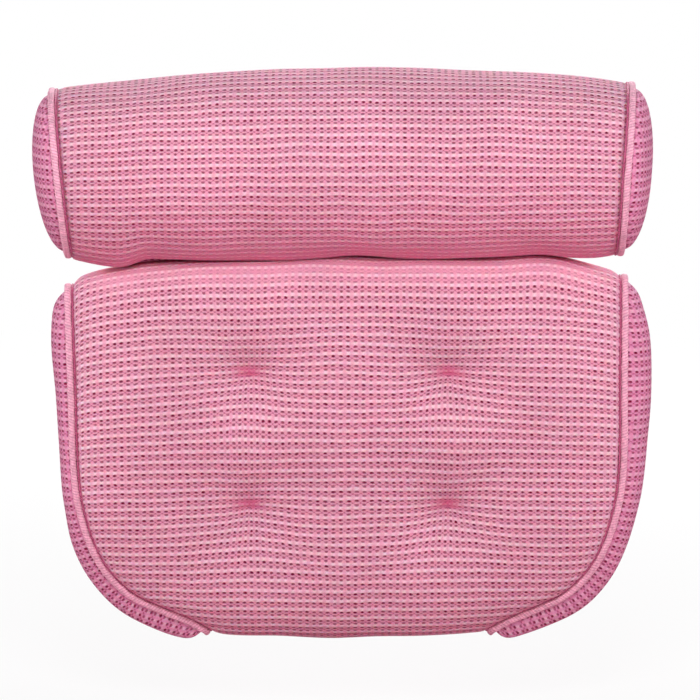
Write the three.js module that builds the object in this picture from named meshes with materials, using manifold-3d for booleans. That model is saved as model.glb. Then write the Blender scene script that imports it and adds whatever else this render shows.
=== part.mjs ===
// Bath pillow: a neck roll above a back pad, both sewn from knitted spacer mesh, with suction cups behind.
// Lengths are in millimetres. X runs across the pillow, Y from the bather to the tub wall, and Z up.
// The origin lies on the wall's plane, in the middle of the fold line between the roll and the pad.

import * as THREE from "three";
import { mergeVertices } from "three/addons/utils/BufferGeometryUtils.js";
import Module from "manifold-3d";

// Cloth and sewing
const fabricThickness = 4;
const sewnGap = 0.3;
const weltGap = 0.6;
const weltWidth = 4.3;
const weltRise = 1.6;
const weltDepth = 2.2;

// The cushions stand off the wall by the cups, and part at the fold line
const wallStandOff = 13;
const foldGap = 0.3;

// Both cushions are sewn to one width: from the middle to an end seam
const seamHalfWidth = 169.4;

// Neck roll: a section that is round in front and flat behind
const rollHeight = 116.9;
const rollFrontDepth = 56;
const rollBackDepth = 36;
const rollPeakShare = 0.1;
const rollSeamTopDrop = 12.65;
const rollSeamFootRise = 3.35;
const rollSeamFrontDepth = 48;
const rollSeamBackDepth = 31;
const rollSeamLean = 5;
const rollRightRise = 4;
const rollRightTopShift = -0.8;
const rollRightFootShift = 2.4;
const rollLeftBulge = 19;
const rollRightBulge = 19.4;

// Back pad: wider than it is high, crowned in front and flat behind
const padShift = 3.8;
const padHeight = 235;
const padFrontDepth = 36;
const padBackDepth = 30;
const padFrontTaperShare = 0.2;
const padSeamTopDrop = 15.15;
const padSeamFootRise = 2.25;
const padSeamFrontDepth = 23;
const padSeamBackDepth = 21;
const padSeamTaperShare = 0.5;
const padRightRise = 5.7;
const padRightTopShift = -3;
const padLeftBulge = 16;
const padRightBulge = 20.3;

// The pad's side seam, from its top corner to the tip under the pad: shares of the half width and height
const padSeamShares = [
  [1, 0],
  [0.994, 0.14],
  [0.987, 0.3],
  [0.984, 0.43],
  [0.975, 0.56],
  [0.96, 0.635],
  [0.925, 0.73],
  [0.872, 0.812],
  [0.789, 0.88],
  [0.7, 0.918],
  [0.59, 0.956],
  [0.525, 0.985],
  [0.503, 1],
];

// How full each side panel is, as shares of its bulge, from 1 at the seam's top to -1 at the tip
const padLeftBulgeShares = [
  [1, 0],
  [0.95, 0.48],
  [0.87, 0.75],
  [0.67, 0.88],
  [0.365, 0.73],
  [0.06, 0.635],
  [-0.245, 0.69],
  [-0.45, 0.88],
  [-0.65, 0.92],
  [-0.75, 0.96],
  [-0.85, 1],
  [-0.92, 0.95],
  [-0.97, 0.65],
  [-0.99, 0.35],
  [-1, 0],
];
const padRightBulgeShares = [
  [1, 0],
  [0.95, 0.38],
  [0.87, 0.61],
  [0.67, 0.94],
  [0.365, 1],
  [0.06, 0.83],
  [-0.245, 0.755],
  [-0.45, 0.75],
  [-0.65, 0.785],
  [-0.75, 0.79],
  [-0.85, 0.71],
  [-0.93, 0.61],
  [-0.97, 0.45],
  [-0.99, 0.27],
  [-1, 0],
];

// Tufts: four places where a thread pulls the pad's front and back together
const tuftWidthShare = 0.36;
const tuftSpacingZ = 83;
const tuftCentreDrop = 111;
const tuftDepth = 21;
const tuftBackDepth = 5;
const tuftRadius = 20;
const tuftBackRadius = 11;
const tuftFallPower = 1.15;
const tieRadius = 0.9;
const knotRadius = 3.5;
const knotThickness = 1.6;

// Fold between the cushions: two leaves of cloth that meet at the hinge line
const leafThickness = 1.8;
const leafHeight = 34;
const leafEndInset = 39.4;
const leafEdgeGap = 2;

// Suction cups and the patches that hold them
const cupRadius = 28;
const cupRimWidth = 6;
const cupLipThickness = 1;
const cupHollowDepth = 3.2;
const cupHollowShare = 0.8;
const cupDishShare = 0.62;
const neckRadius = 4.9;
const neckFlareRadius = 9;
const headRadius = 8.4;
const headThickness = 2.4;
const patchRadius = 20;
const patchHemWidth = 6;
const patchThickness = 1.6;
const patchRoom = 3.4;
const tabWidth = 10;
const tabReach = 8;
const tabThickness = 1.2;
const turnedSides = 16;
const tabRoundSteps = 6;

// Places of the cups: how far in from the end seams a pair stands, and how far below the fold line
const rollCupInset = 64.4;
const padTopCupInset = 57.4;
const padTopCupDrop = 58;
const padLowCupInset = 77.4;
const padLowCupDrop = 172;

const wasm = await Module();
wasm.setup();

// A closed solid for cutting and joining.
function solidOf(geometry) {
  const bare = geometry.clone();
  bare.deleteAttribute("normal");
  bare.deleteAttribute("uv");
  const merged = mergeVertices(bare);
  return new wasm.Manifold(
    new wasm.Mesh({
      numProp: 3,
      vertProperties: merged.attributes.position.array,
      triVerts: new Uint32Array(merged.index.array),
    }),
  );
}

function geometryOf(solid) {
  const { vertProperties, triVerts } = solid.getMesh();
  const geometry = new THREE.BufferGeometry();
  geometry.setAttribute("position", new THREE.BufferAttribute(vertProperties, 3));
  geometry.setIndex(new THREE.BufferAttribute(triVerts, 1));
  return geometry;
}

// Triangles gathered point by point. A quad is written counter-clockwise as it is seen from outside.
class Skin {
  constructor() {
    this.points = [];
  }
  triangle(a, b, c) {
    this.points.push(...a, ...b, ...c);
  }
  quad(a, b, c, d) {
    this.triangle(a, b, c);
    this.triangle(a, c, d);
  }
  // A grid of points, rows[i][j]. Flipping it turns its faces round and keeps its diagonals.
  sheet(rows, flip = false) {
    for (let i = 0; i + 1 < rows.length; i++) {
      for (let j = 0; j + 1 < rows[i].length; j++) {
        const [a, b, c, d] = [rows[i][j], rows[i + 1][j], rows[i + 1][j + 1], rows[i][j + 1]];
        if (flip) this.quad(a, d, c, b);
        else this.quad(a, b, c, d);
      }
    }
  }
  geometry() {
    const bare = new THREE.BufferGeometry();
    bare.setAttribute("position", new THREE.Float32BufferAttribute(this.points, 3));
    const merged = mergeVertices(bare);
    if (solidOf(merged).volume() < 0) merged.index.array.reverse();
    merged.computeVertexNormals();
    return merged;
  }
}

// How full a superellipse is across, at a height from -1 to 1.
function fullness(height, power) {
  return (1 - Math.abs(height) ** power) ** (1 / power);
}

// The half width of a sewn side at each height, and the way that side faces, from a curve through its points.
function sideOutline(points) {
  const curve = new THREE.SplineCurve(points.map(([x, z]) => new THREE.Vector2(x, z)));
  const samples = curve.getPoints(points.length * 24);
  return (z) => {
    let i = 1;
    while (i + 1 < samples.length && samples[i].y > z) i++;
    const [above, below] = [samples[i - 1], samples[i]];
    const share = (above.y - z) / (above.y - below.y);
    const along = below.clone().sub(above).normalize();
    return {
      x: above.x + (below.x - above.x) * THREE.MathUtils.clamp(share, 0, 1),
      outX: -along.y,
      outZ: along.x,
    };
  };
}

// A share at a row, between the two entries of a falling table that it lies between.
function shareAt(table, row) {
  let i = 1;
  while (i + 1 < table.length && table[i][0] > row) i++;
  const [[highRow, highShare], [lowRow, lowShare]] = [table[i - 1], table[i]];
  return highShare + ((lowShare - highShare) * (highRow - row)) / (highRow - lowRow);
}

const backPlane = -wallStandOff;
const weltReach = weltGap + weltWidth;

// Roll: its section's middle, and its end seam's middle
const rollBottom = foldGap / 2;
const rollMiddleZ = rollBottom + rollHeight / 2;
const rollSeamHeight = rollHeight - rollSeamTopDrop - rollSeamFootRise;
const rollSeamMiddleZ = rollBottom + rollSeamFootRise + rollSeamHeight / 2;
const rollShape = {
  middleX: 0,
  middleY: backPlane - rollBackDepth,
  middleZ: rollMiddleZ,
  halfHeight: rollHeight / 2,
  frontDepth: () => rollFrontDepth,
  backDepth: () => rollBackDepth,
  frontPower: () => 2.15,
  backPower: () => 3.4,
  crown: (row, across) => {
    const place = Math.abs(across - rollPeakShare * (1 - across ** 2));
    const above = (1 - place ** 1.9) ** 0.75;
    const below = (1 - place ** 4) ** 0.6;
    return below + ((above - below) * (1 + row)) / 2;
  },
  seamMiddleY: backPlane - rollBackDepth,
  seamMiddleZ: rollSeamMiddleZ,
  seamHalfHeight: rollSeamHeight / 2,
  seamFrontDepth: () => rollSeamFrontDepth,
  seamBackDepth: () => rollSeamBackDepth,
  seamPower: () => 2.3,
  side: (z) => {
    const lean = (z - rollSeamMiddleZ) / (rollSeamHeight / 2);
    return { x: seamHalfWidth + rollSeamLean * lean, outX: 1, outZ: 0 };
  },
  rightRise: rollRightRise,
  rightShift: (row) => (row > 0 ? rollRightTopShift * row : -rollRightFootShift * row),
  bulge: (row, end) => ((end < 0 ? rollLeftBulge : rollRightBulge) - weltReach) * fullness(row, 2),
  dimples: [],
  rowShares: [0.997, 0.93, 0.78, 0.55, 0.28, 0, -0.28, -0.55, -0.78, -0.93, -0.997],
  columnShares: [0, 0.3, 0.6, 0.8, 0.93, 1],
};

// Pad: the same, with the side seam drawn in to the tips under it
const padTop = -foldGap / 2;
const padMiddleZ = padTop - padHeight / 2;
const padSeamTop = padTop - padSeamTopDrop;
const padSeamHeight = padHeight - padSeamTopDrop - padSeamFootRise;
const padSeamMiddleZ = padSeamTop - padSeamHeight / 2;
const padMiddleY = backPlane - padBackDepth;
const tuftHalfX = seamHalfWidth * tuftWidthShare;
const tuftHeights = [padTop - tuftCentreDrop + tuftSpacingZ / 2, padTop - tuftCentreDrop - tuftSpacingZ / 2];
const tuftPlaces = tuftHeights.flatMap((z) => [-tuftHalfX, tuftHalfX].map((x) => ({ x: padShift + x, z })));
const padRowOf = (z) => (z - padMiddleZ) / (padHeight / 2);
const padShape = {
  middleX: padShift,
  middleY: padMiddleY,
  middleZ: padMiddleZ,
  halfHeight: padHeight / 2,
  frontDepth: (row) => padFrontDepth * (1 - (padFrontTaperShare * (1 - row)) / 2),
  backDepth: () => padBackDepth,
  frontPower: (row) => (row > 0 ? 2.6 : 3.2),
  backPower: () => 4.5,
  crown: (row, across) => (1 - Math.abs(across) ** 4) ** 0.55,
  seamMiddleY: padMiddleY,
  seamMiddleZ: padSeamMiddleZ,
  seamHalfHeight: padSeamHeight / 2,
  seamFrontDepth: (row) => padSeamFrontDepth * (1 - padSeamTaperShare * ((1 - row) / 2) ** 3),
  seamBackDepth: (row) => padSeamBackDepth * (1 - padSeamTaperShare * ((1 - row) / 2) ** 3),
  seamPower: (row) => (row > 0 ? 3 : 2.4),
  side: sideOutline(
    padSeamShares.map(([width, drop]) => [width * seamHalfWidth, padSeamTop - drop * padSeamHeight]),
  ),
  rightRise: padRightRise,
  rightShift: (row) => padRightTopShift * Math.max(0, row),
  bulge: (row, end) =>
    end < 0
      ? (padLeftBulge - weltReach) * shareAt(padLeftBulgeShares, row)
      : (padRightBulge - weltReach) * shareAt(padRightBulgeShares, row),
  dimples: tuftPlaces,
  rowShares: [
    0.997, 0.95, 0.84, 0.63, padRowOf(tuftHeights[0]), 0.16, -0.1, padRowOf(tuftHeights[1]),
    -0.48, -0.6, -0.7, -0.78, -0.845, -0.9, -0.94, -0.97, -0.996,
  ],
  columnShares: [0, 0.17, tuftWidthShare, 0.55, 0.78, 0.93, 1],
};

// How far the threads draw the cloth in at a place on the front or the back.
function pulledIn(shape, x, z, front) {
  const depth = front ? tuftDepth : tuftBackDepth;
  const radius = front ? tuftRadius : tuftBackRadius;
  let most = 0;
  for (const tuft of shape.dimples) {
    const away = Math.hypot(x - tuft.x, z - tuft.z);
    most = Math.max(most, depth * Math.exp(-((away / radius) ** tuftFallPower)));
  }
  return most;
}

// A point of the end seam's loop. Inset shrinks the loop, and out moves it away from the cushion's middle.
// The right seam isn't quite the left one's mirror image.
function seamPoint(shape, row, front, inset, end, out) {
  const z = shape.seamMiddleZ + (shape.seamHalfHeight - inset) * row;
  const full = fullness(row, shape.seamPower(row));
  const depth = front ? -(shape.seamFrontDepth(row) - inset) : shape.seamBackDepth(row) - inset;
  const side = shape.side(z);
  const shift = end > 0 ? shape.rightShift(row) : 0;
  const rise = end > 0 ? (shape.rightRise * (1 + row)) / 2 : 0;
  return [
    shape.middleX + end * (side.x + shift + out * side.outX),
    shape.seamMiddleY + depth * full,
    z + rise + out * side.outZ,
  ];
}

// A point of the wrap that goes round the cushion. Across runs from -1 at the left seam to 1 at the right.
function wrapPoint(shape, row, front, inset, across) {
  const [seamX, seamY, seamZ] = seamPoint(shape, row, front, inset, across > 0 ? 1 : -1, 0);
  const full = fullness(row, front ? shape.frontPower(row) : shape.backPower(row));
  const depth = front ? -(shape.frontDepth(row) - inset) : shape.backDepth(row) - inset;
  const middleY = shape.middleY + depth * full;
  const middleZ = shape.middleZ + (shape.halfHeight - inset) * row;
  const crown = shape.crown(row, across);
  const x = shape.middleX + Math.abs(across) * (seamX - shape.middleX);
  const z = seamZ + (middleZ - seamZ) * crown;
  const pulled = pulledIn(shape, x, z, front) * crown;
  return [x, seamY + (middleY - seamY) * crown + (front ? pulled : -pulled), z];
}

// The places round a cushion: down its front, then up its back, and back to the start.
function roundPlaces(shape) {
  const front = shape.rowShares.map((row) => ({ row, front: true }));
  const back = shape.rowShares.map((row) => ({ row, front: false })).reverse();
  return [...front, ...back, front[0]];
}

function acrossShares(shape) {
  const right = shape.columnShares;
  return [...right.slice(1).reverse().map((share) => -share), ...right];
}

function wrapRows(shape, inset) {
  return roundPlaces(shape).map(({ row, front }) =>
    acrossShares(shape).map((across) => wrapPoint(shape, row, front, inset, across)),
  );
}

// The wrap: cloth all round, open at both ends.
function wrapGeometry(shape) {
  const outer = wrapRows(shape, 0);
  const inner = wrapRows(shape, fabricThickness);
  const last = outer[0].length - 1;
  const skin = new Skin();
  skin.sheet(outer);
  skin.sheet(inner, true);
  skin.sheet(outer.map((points, i) => [inner[i][0], points[0]]));
  skin.sheet(outer.map((points, i) => [points[last], inner[i][last]]));
  return skin.geometry();
}

const panelShares = [-1, -0.8, -0.4, 0, 0.4, 0.8, 1];

// Rows of points across an end, from the back seam to the front seam, arched out in the middle.
function endRows(shape, end, inset, out) {
  return shape.rowShares.map((row) => {
    const arch = shape.bulge(row, end);
    return panelShares.map((share) => {
      const reach = out + arch * Math.sqrt(1 - share ** 2);
      const back = seamPoint(shape, row, false, inset, end, reach);
      const front = seamPoint(shape, row, true, inset, end, reach);
      return back.map((value, axis) => value + ((front[axis] - value) * (share + 1)) / 2);
    });
  });
}

// An end panel: one bulging piece of cloth whose edge is tucked behind the welt.
function endPanelGeometry(shape, end) {
  const edge = weltDepth + sewnGap;
  const outer = endRows(shape, end, edge, weltReach);
  const inner = endRows(shape, end, edge, weltReach - fabricThickness);
  const lastRow = outer.length - 1;
  const lastShare = panelShares.length - 1;
  const skin = new Skin();
  skin.sheet(outer);
  skin.sheet(inner, true);
  skin.sheet(outer.map((points, i) => [inner[i][0], points[0]]));
  skin.sheet(outer.map((points, i) => [points[lastShare], inner[i][lastShare]]));
  skin.sheet([inner[0], outer[0]]);
  skin.sheet([outer[lastRow], inner[lastRow]]);
  return skin.geometry();
}

// The welt: a rounded strip all round the end seam.
function weltGeometry(shape, end) {
  const section = [
    [weltGap, -weltRise / 2],
    [weltGap + weltWidth / 4, -weltRise],
    [weltGap + (weltWidth * 3) / 4, -weltRise],
    [weltReach, -weltRise / 3],
    [weltReach, weltDepth],
    [weltGap, weltDepth],
    [weltGap, -weltRise / 2],
  ];
  const skin = new Skin();
  skin.sheet(
    roundPlaces(shape).map(({ row, front }) =>
      section.map(([out, inset]) => seamPoint(shape, row, front, inset, end, out)),
    ),
  );
  return skin.geometry();
}

// The filling: it fills the wrap and bulges into both end panels.
function fillingGeometry(shape) {
  const inset = fabricThickness + sewnGap;
  const skin = new Skin();
  skin.sheet(wrapRows(shape, inset));
  for (const end of [-1, 1]) {
    const rows = endRows(shape, end, inset, 0);
    skin.sheet(rows, end > 0);
    for (const [points, turned] of [
      [rows[0], end > 0],
      [rows[rows.length - 1], end < 0],
    ]) {
      for (let i = 1; i + 1 < points.length; i++) {
        const corners = [points[0], points[i], points[i + 1]];
        skin.triangle(...(turned ? corners.reverse() : corners));
      }
    }
  }
  return skin.geometry();
}

// A turned solid about the Y axis, from a profile of radii and places that goes out, along and back.
function turned(profile, sides = turnedSides) {
  return new THREE.LatheGeometry(
    profile.map(([radius, y]) => new THREE.Vector2(radius, y)),
    sides,
  );
}

function rod(radius, from, to, x, z) {
  const geometry = new THREE.CylinderGeometry(radius, radius, to - from, turnedSides / 2);
  return geometry.translate(x, (from + to) / 2, z);
}

// Where a thread meets the cloth at a tuft, in front and behind.
function tuftEnds(tuft) {
  const row = padRowOf(tuft.z);
  const across = (tuft.x - padShift) / padShape.side(tuft.z).x;
  return [true, false].map((front) => wrapPoint(padShape, row, front, 0, across)[1]);
}

function tieGeometry(tuft) {
  const [front, back] = tuftEnds(tuft);
  return turned(
    [
      [0, front - knotThickness],
      [knotRadius, front - knotThickness],
      [knotRadius, front],
      [tieRadius, front],
      [tieRadius, back],
      [knotRadius, back],
      [knotRadius, back + knotThickness],
      [0, back + knotThickness],
    ],
    turnedSides / 2,
  );
}

// Each tie's hole goes right through, with a seat in the cloth for the knot at each end.
function withTieHoles(geometry) {
  let solid = solidOf(geometry);
  for (const tuft of tuftPlaces) {
    const [front, back] = tuftEnds(tuft);
    const outFront = front - tuftDepth;
    const outBack = back + tuftBackDepth;
    for (const cut of [
      rod(tieRadius + sewnGap, outFront, outBack, tuft.x, tuft.z),
      rod(knotRadius + sewnGap, outFront, front + sewnGap, tuft.x, tuft.z),
      rod(knotRadius + sewnGap, back - sewnGap, outBack, tuft.x, tuft.z),
    ]) {
      solid = solid.subtract(solidOf(cut));
    }
  }
  return geometryOf(solid);
}

// The place of a cushion's back that is nearest to the wall, within a patch's reach of a cup.
function backUnder({ shape, x, z }) {
  const reaches = [0, -patchRadius, patchRadius];
  const heights = reaches.flatMap((right) =>
    reaches.map((up) => {
      const row = THREE.MathUtils.clamp((z + up - shape.middleZ) / shape.halfHeight, -1, 1);
      const across = THREE.MathUtils.clamp((x + right - shape.middleX) / shape.side(z + up).x, -1, 1);
      return wrapPoint(shape, row, false, 0, across)[1];
    }),
  );
  return Math.max(...heights);
}

// A patch lies on the cushion's back, with room under its raised middle for the cup's head.
function patchGeometry(place) {
  const base = backUnder(place) + sewnGap;
  const stepRadius = patchRadius - patchHemWidth;
  const roomRadius = headRadius + patchThickness / 2;
  const holeRadius = neckRadius + sewnGap * 2;
  return turned([
    [holeRadius, base + patchRoom],
    [roomRadius, base + patchRoom],
    [stepRadius, base],
    [patchRadius, base],
    [patchRadius, base + patchThickness],
    [stepRadius + sewnGap, base + patchThickness],
    [roomRadius + patchThickness / 2, base + patchRoom + patchThickness],
    [holeRadius, base + patchRoom + patchThickness],
    [holeRadius, base + patchRoom],
  ]);
}

// The pull tab is a round-ended tongue on the cup's lip, which hangs down.
function tabGeometry() {
  const start = cupRadius - cupRimWidth / 2;
  const straight = tabReach - tabWidth / 2 + cupRimWidth / 2;
  const tongue = new THREE.Shape();
  tongue.moveTo(-tabWidth / 2, 0);
  tongue.lineTo(tabWidth / 2, 0);
  tongue.lineTo(tabWidth / 2, straight);
  tongue.absarc(0, straight, tabWidth / 2, 0, Math.PI, false);
  tongue.closePath();
  const geometry = new THREE.ExtrudeGeometry(tongue, {
    depth: tabThickness,
    bevelEnabled: false,
    curveSegments: tabRoundSteps,
  });
  geometry.rotateX(-Math.PI / 2);
  return geometry.translate(0, -tabThickness, -start);
}

// A suction cup: a soft dish, a neck and the head that is buttoned into the patch.
function cupGeometry(place) {
  const headBase = backUnder(place) + sewnGap * 2;
  const headTop = headBase + headThickness;
  const shoulder = headBase + patchRoom + patchThickness + sewnGap;
  const lipInner = cupRadius - cupRimWidth;
  const dish = turned([
    [0, headBase],
    [headRadius, headBase],
    [headRadius, headTop],
    [neckRadius, headTop],
    [neckRadius, shoulder],
    [neckFlareRadius, shoulder],
    [(neckFlareRadius + cupRadius) / 2, shoulder * cupDishShare],
    [cupRadius, -cupLipThickness],
    [cupRadius, 0],
    [lipInner, 0],
    [lipInner / 2, -cupHollowDepth * cupHollowShare],
    [0, -cupHollowDepth],
  ]);
  return geometryOf(solidOf(dish).add(solidOf(tabGeometry())));
}

// A leaf of the fold: a strip of cloth from beside the hinge line to where it is sewn on one cushion's back.
function leafGeometry(shape, direction) {
  const halfLength = seamHalfWidth - leafEndInset;
  const near = direction * leafEdgeGap;
  const far = direction * leafHeight;
  const nearFront = backPlane + sewnGap;
  const farFront = wrapPoint(shape, (far - shape.middleZ) / shape.halfHeight, false, 0, 0)[1] + sewnGap;
  const skin = new Skin();
  const ring = [
    [nearFront, near],
    [farFront, far],
    [farFront + leafThickness, far],
    [nearFront + leafThickness, near],
  ];
  const corners = [-1, 1].map((side) => ring.map(([y, z]) => [shape.middleX + side * halfLength, y, z]));
  skin.sheet(corners.map((points) => [...points, points[0]]));
  skin.quad(...corners[0]);
  skin.quad(...corners[1].reverse());
  return skin.geometry();
}

const pillow = new THREE.Group();

function addPiece(name, geometry, colour, roughness, x = 0, z = 0) {
  const material = new THREE.MeshStandardMaterial({ color: colour, roughness, metalness: 0 });
  const mesh = new THREE.Mesh(geometry, material);
  mesh.name = name;
  mesh.position.set(x, 0, z);
  pillow.add(mesh);
}

const meshPink = 0xec86aa;
const sidePink = 0xd976a2;
const weltPink = 0xf2a0bc;
const threadPink = 0xb52a63;
const fibreWhite = 0xf4f0ee;
const clearVinyl = 0xdfe8ea;
const ends = { left: -1, right: 1 };

addPiece("roll_cover", wrapGeometry(rollShape), meshPink, 0.85);
addPiece("roll_filling", fillingGeometry(rollShape), fibreWhite, 0.95);
addPiece("pad_cover", withTieHoles(wrapGeometry(padShape)), meshPink, 0.85);
addPiece("pad_filling", withTieHoles(fillingGeometry(padShape)), fibreWhite, 0.95);
for (const [side, end] of Object.entries(ends)) {
  addPiece(`roll_end_${side}`, endPanelGeometry(rollShape, end), sidePink, 0.85);
  addPiece(`roll_welt_${side}`, weltGeometry(rollShape, end), weltPink, 0.8);
  addPiece(`pad_side_${side}`, endPanelGeometry(padShape, end), sidePink, 0.85);
  addPiece(`pad_welt_${side}`, weltGeometry(padShape, end), weltPink, 0.8);
}
tuftPlaces.forEach((tuft, i) => {
  addPiece(`tuft_tie_${i + 1}`, tieGeometry(tuft), threadPink, 0.7, tuft.x, tuft.z);
});
addPiece("roll_hinge_leaf", leafGeometry(rollShape, 1), meshPink, 0.85);
addPiece("pad_hinge_leaf", leafGeometry(padShape, -1), meshPink, 0.85);

const cupPairs = [
  { shape: padShape, inset: padTopCupInset, z: -padTopCupDrop },
  { shape: padShape, inset: padLowCupInset, z: -padLowCupDrop },
  { shape: rollShape, inset: rollCupInset, z: rollMiddleZ },
];
const cupPlaces = cupPairs.flatMap(({ shape, inset, z }) =>
  [-1, 1].map((side) => ({ shape, x: shape.middleX + side * (seamHalfWidth - inset), z })),
);
cupPlaces.forEach((place, i) => {
  addPiece(`cup_patch_${i + 1}`, patchGeometry(place), meshPink, 0.8, place.x, place.z);
  addPiece(`suction_cup_${i + 1}`, cupGeometry(place), clearVinyl, 0.15, place.x, place.z);
});

export default pillow;
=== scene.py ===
import math
from functools import partial
import bpy
import numpy as np
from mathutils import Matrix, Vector, noise
from mathutils.bvhtree import BVHTree


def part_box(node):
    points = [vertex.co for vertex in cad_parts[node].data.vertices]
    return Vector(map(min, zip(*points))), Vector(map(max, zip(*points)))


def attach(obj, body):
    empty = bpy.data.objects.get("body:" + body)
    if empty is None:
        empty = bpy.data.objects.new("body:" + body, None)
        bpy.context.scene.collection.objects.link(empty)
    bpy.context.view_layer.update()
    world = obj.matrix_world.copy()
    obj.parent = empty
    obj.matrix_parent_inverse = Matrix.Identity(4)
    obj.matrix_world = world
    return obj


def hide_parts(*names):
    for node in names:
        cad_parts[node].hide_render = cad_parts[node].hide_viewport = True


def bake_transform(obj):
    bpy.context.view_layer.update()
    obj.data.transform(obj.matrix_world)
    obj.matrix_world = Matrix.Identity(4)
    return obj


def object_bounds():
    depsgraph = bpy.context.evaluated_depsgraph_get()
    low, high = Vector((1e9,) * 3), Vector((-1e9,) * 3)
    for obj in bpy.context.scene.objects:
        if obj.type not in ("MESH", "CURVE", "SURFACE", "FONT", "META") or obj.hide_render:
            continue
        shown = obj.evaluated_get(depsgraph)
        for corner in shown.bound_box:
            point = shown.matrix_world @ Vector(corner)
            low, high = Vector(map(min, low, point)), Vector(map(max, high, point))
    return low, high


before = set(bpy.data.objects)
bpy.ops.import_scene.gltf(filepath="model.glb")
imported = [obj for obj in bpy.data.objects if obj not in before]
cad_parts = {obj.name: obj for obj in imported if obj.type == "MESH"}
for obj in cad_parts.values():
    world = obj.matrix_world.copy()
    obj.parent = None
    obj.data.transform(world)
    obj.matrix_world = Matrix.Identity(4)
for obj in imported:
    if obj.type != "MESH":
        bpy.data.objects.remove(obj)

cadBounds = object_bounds()
mm = 0.001  # lengths are written in millimetres, and a mesh is made in metres
noise.seed_set(1)  # or else its vectors change with the clock

# Cloth and sewing, as the solids have them
sewing = {
    "fabricThickness": 4,
    "weltGap": 0.6,  # between a seam and its welt
    "weltWidth": 4.3,
    "weltRise": 1.6,
    "weltDepth": 2.2,
    "sewnGap": 0.3,
}

# Neck roll: round in front, flatter behind. y and z of the middles, in the shared frame
roll = {
    "body": "neck_roll",
    "middle": (0, -49, 58.6),
    "halfHeight": 58.45,
    "frontDepth": (56, 56),  # at the top and at the bottom
    "backDepth": 36,
    "frontPower": (2.15, 2.15),  # how square the section is above and below its middle
    "backPower": 3.4,
    "crown": ((1.9, 0.75), (4, 0.6)),  # how full it stays towards its ends, above and below
    "peak": 0.1,  # its fullest place lies a little right of the middle
    "seamMiddleZ": 53.95,
    "seamHalfHeight": 50.45,
    "seamFrontDepth": 48,
    "seamBackDepth": 31,
    "seamTaper": 0,
    "seamPower": (2.3, 2.3),
    "seamHalfLength": 169.4,
    "seamLean": 5,
    "rightRise": (1.3, 4),  # how much higher the right seam's foot and top are than the left one's
    "rightShift": (-0.8, 2.4),  # how far the right seam's top and foot stand out beyond the left's
    "bulge": {-1: 19, 1: 19.4},  # how far an end panel stands out beyond its seam
    "bulgeShares": None,
    "tufts": [],
    "pressure": 4,  # of its filling, and the most that it swells the cloth
    "swellCap": 6,
}

# Back pad: crowned in front, with a side seam that is drawn in to the tips under it
pad = {
    "body": "pad",
    "middle": (3.8, -43, -117.65),
    "halfHeight": 117.5,
    "frontDepth": (36, 28.8),
    "backDepth": 30,
    "frontPower": (2.6, 3.2),
    "backPower": 4.5,
    "crown": ((4, 0.55), (4, 0.55)),
    "seamMiddleZ": -124.2,
    "seamHalfHeight": 107.3,
    "seamFrontDepth": 23,
    "seamBackDepth": 21,
    "seamTaper": 0.5,
    "seamPower": (3, 2.4),
    "seamHalfLength": 169.4,
    "peak": 0,
    "rightRise": (0, 5.7),
    "rightShift": (-3, 0),
    # the seam from its top corner to the tip under the pad: shares of the half width and of the height
    "seamShares": [
        (1, 0), (0.994, 0.14), (0.987, 0.3), (0.984, 0.43), (0.975, 0.56), (0.96, 0.635), (0.925, 0.73),
        (0.872, 0.812), (0.789, 0.88), (0.7, 0.918), (0.59, 0.956), (0.525, 0.985), (0.503, 1),
    ],
    "bulge": {-1: 16, 1: 20.3},
    # how full each side panel is, from the seam's top at 1 to the tip at -1
    "bulgeShares": {
        -1: [
            (1, 0), (0.95, 0.48), (0.87, 0.75), (0.67, 0.88), (0.365, 0.73), (0.06, 0.635), (-0.245, 0.69),
            (-0.45, 0.88), (-0.65, 0.93), (-0.75, 0.99), (-0.85, 1.06), (-0.92, 1.05), (-0.97, 0.85),
            (-0.99, 0.5), (-1, 0),
        ],
        1: [
            (1, 0), (0.95, 0.38), (0.87, 0.61), (0.67, 0.94), (0.365, 1), (0.06, 0.83), (-0.245, 0.755),
            (-0.45, 0.75), (-0.65, 0.79), (-0.75, 0.81), (-0.85, 0.76), (-0.93, 0.7), (-0.97, 0.6),
            (-0.99, 0.4), (-1, 0),
        ],
    },
    "tufts": [(-57.2, -69.65), (64.8, -69.65), (-57.2, -152.65), (64.8, -152.65)],  # x and z
    "pressure": 4,
    "swellCap": 9,
}

tufting = {
    "frontDepth": 21,
    "backDepth": 5,
    "frontRadius": 20,
    "backRadius": 11,
    "fall": 1.15,  # how soon the dimple's side flattens
    "pinRadius": 4,
    "drawn": 8,  # how far a tuft draws the knit in along the cloth, and over what reach
    "drawnNear": 16,
    "drawnFar": 48,
    "smearWidth": 8,  # where the knit is drawn so tight that its holes close, and where the dimple gets painted shade, a little above the tuft
    "smearHeight": 3.6,
    "smearRise": 3,
    "tight": 0.7,  # how far they close there, and how far the colour deepens as painted shade
    "deep": 0.62,
    "calm": 10,  # how near a tuft the cloth's lumps die away
}

# How finely the seams and sections are measured
fineSteps = {"rows": 6001, "columns": 4001, "seam": 3001}


def fullness(height, power):
    return max(0.0, 1 - abs(height) ** power) ** (1 / power)


def smoothPath(points, steps=24):
    # a curve that passes through all the points
    out = []
    last = len(points) - 1
    for i in range(last):
        p0, p1 = points[max(i - 1, 0)], points[i]
        p2, p3 = points[i + 1], points[min(i + 2, last)]
        for k in range(steps):
            t = k / steps
            v0, v1 = (p2 - p0) / 2, (p3 - p1) / 2
            cubic = (2 * p1 - 2 * p2 + v0 + v1) * t**3
            out.append(cubic + (3 * p2 - 3 * p1 - 2 * v0 - v1) * t**2 + v0 * t + p1)
    out.append(points[last])
    return np.array(out)


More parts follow.
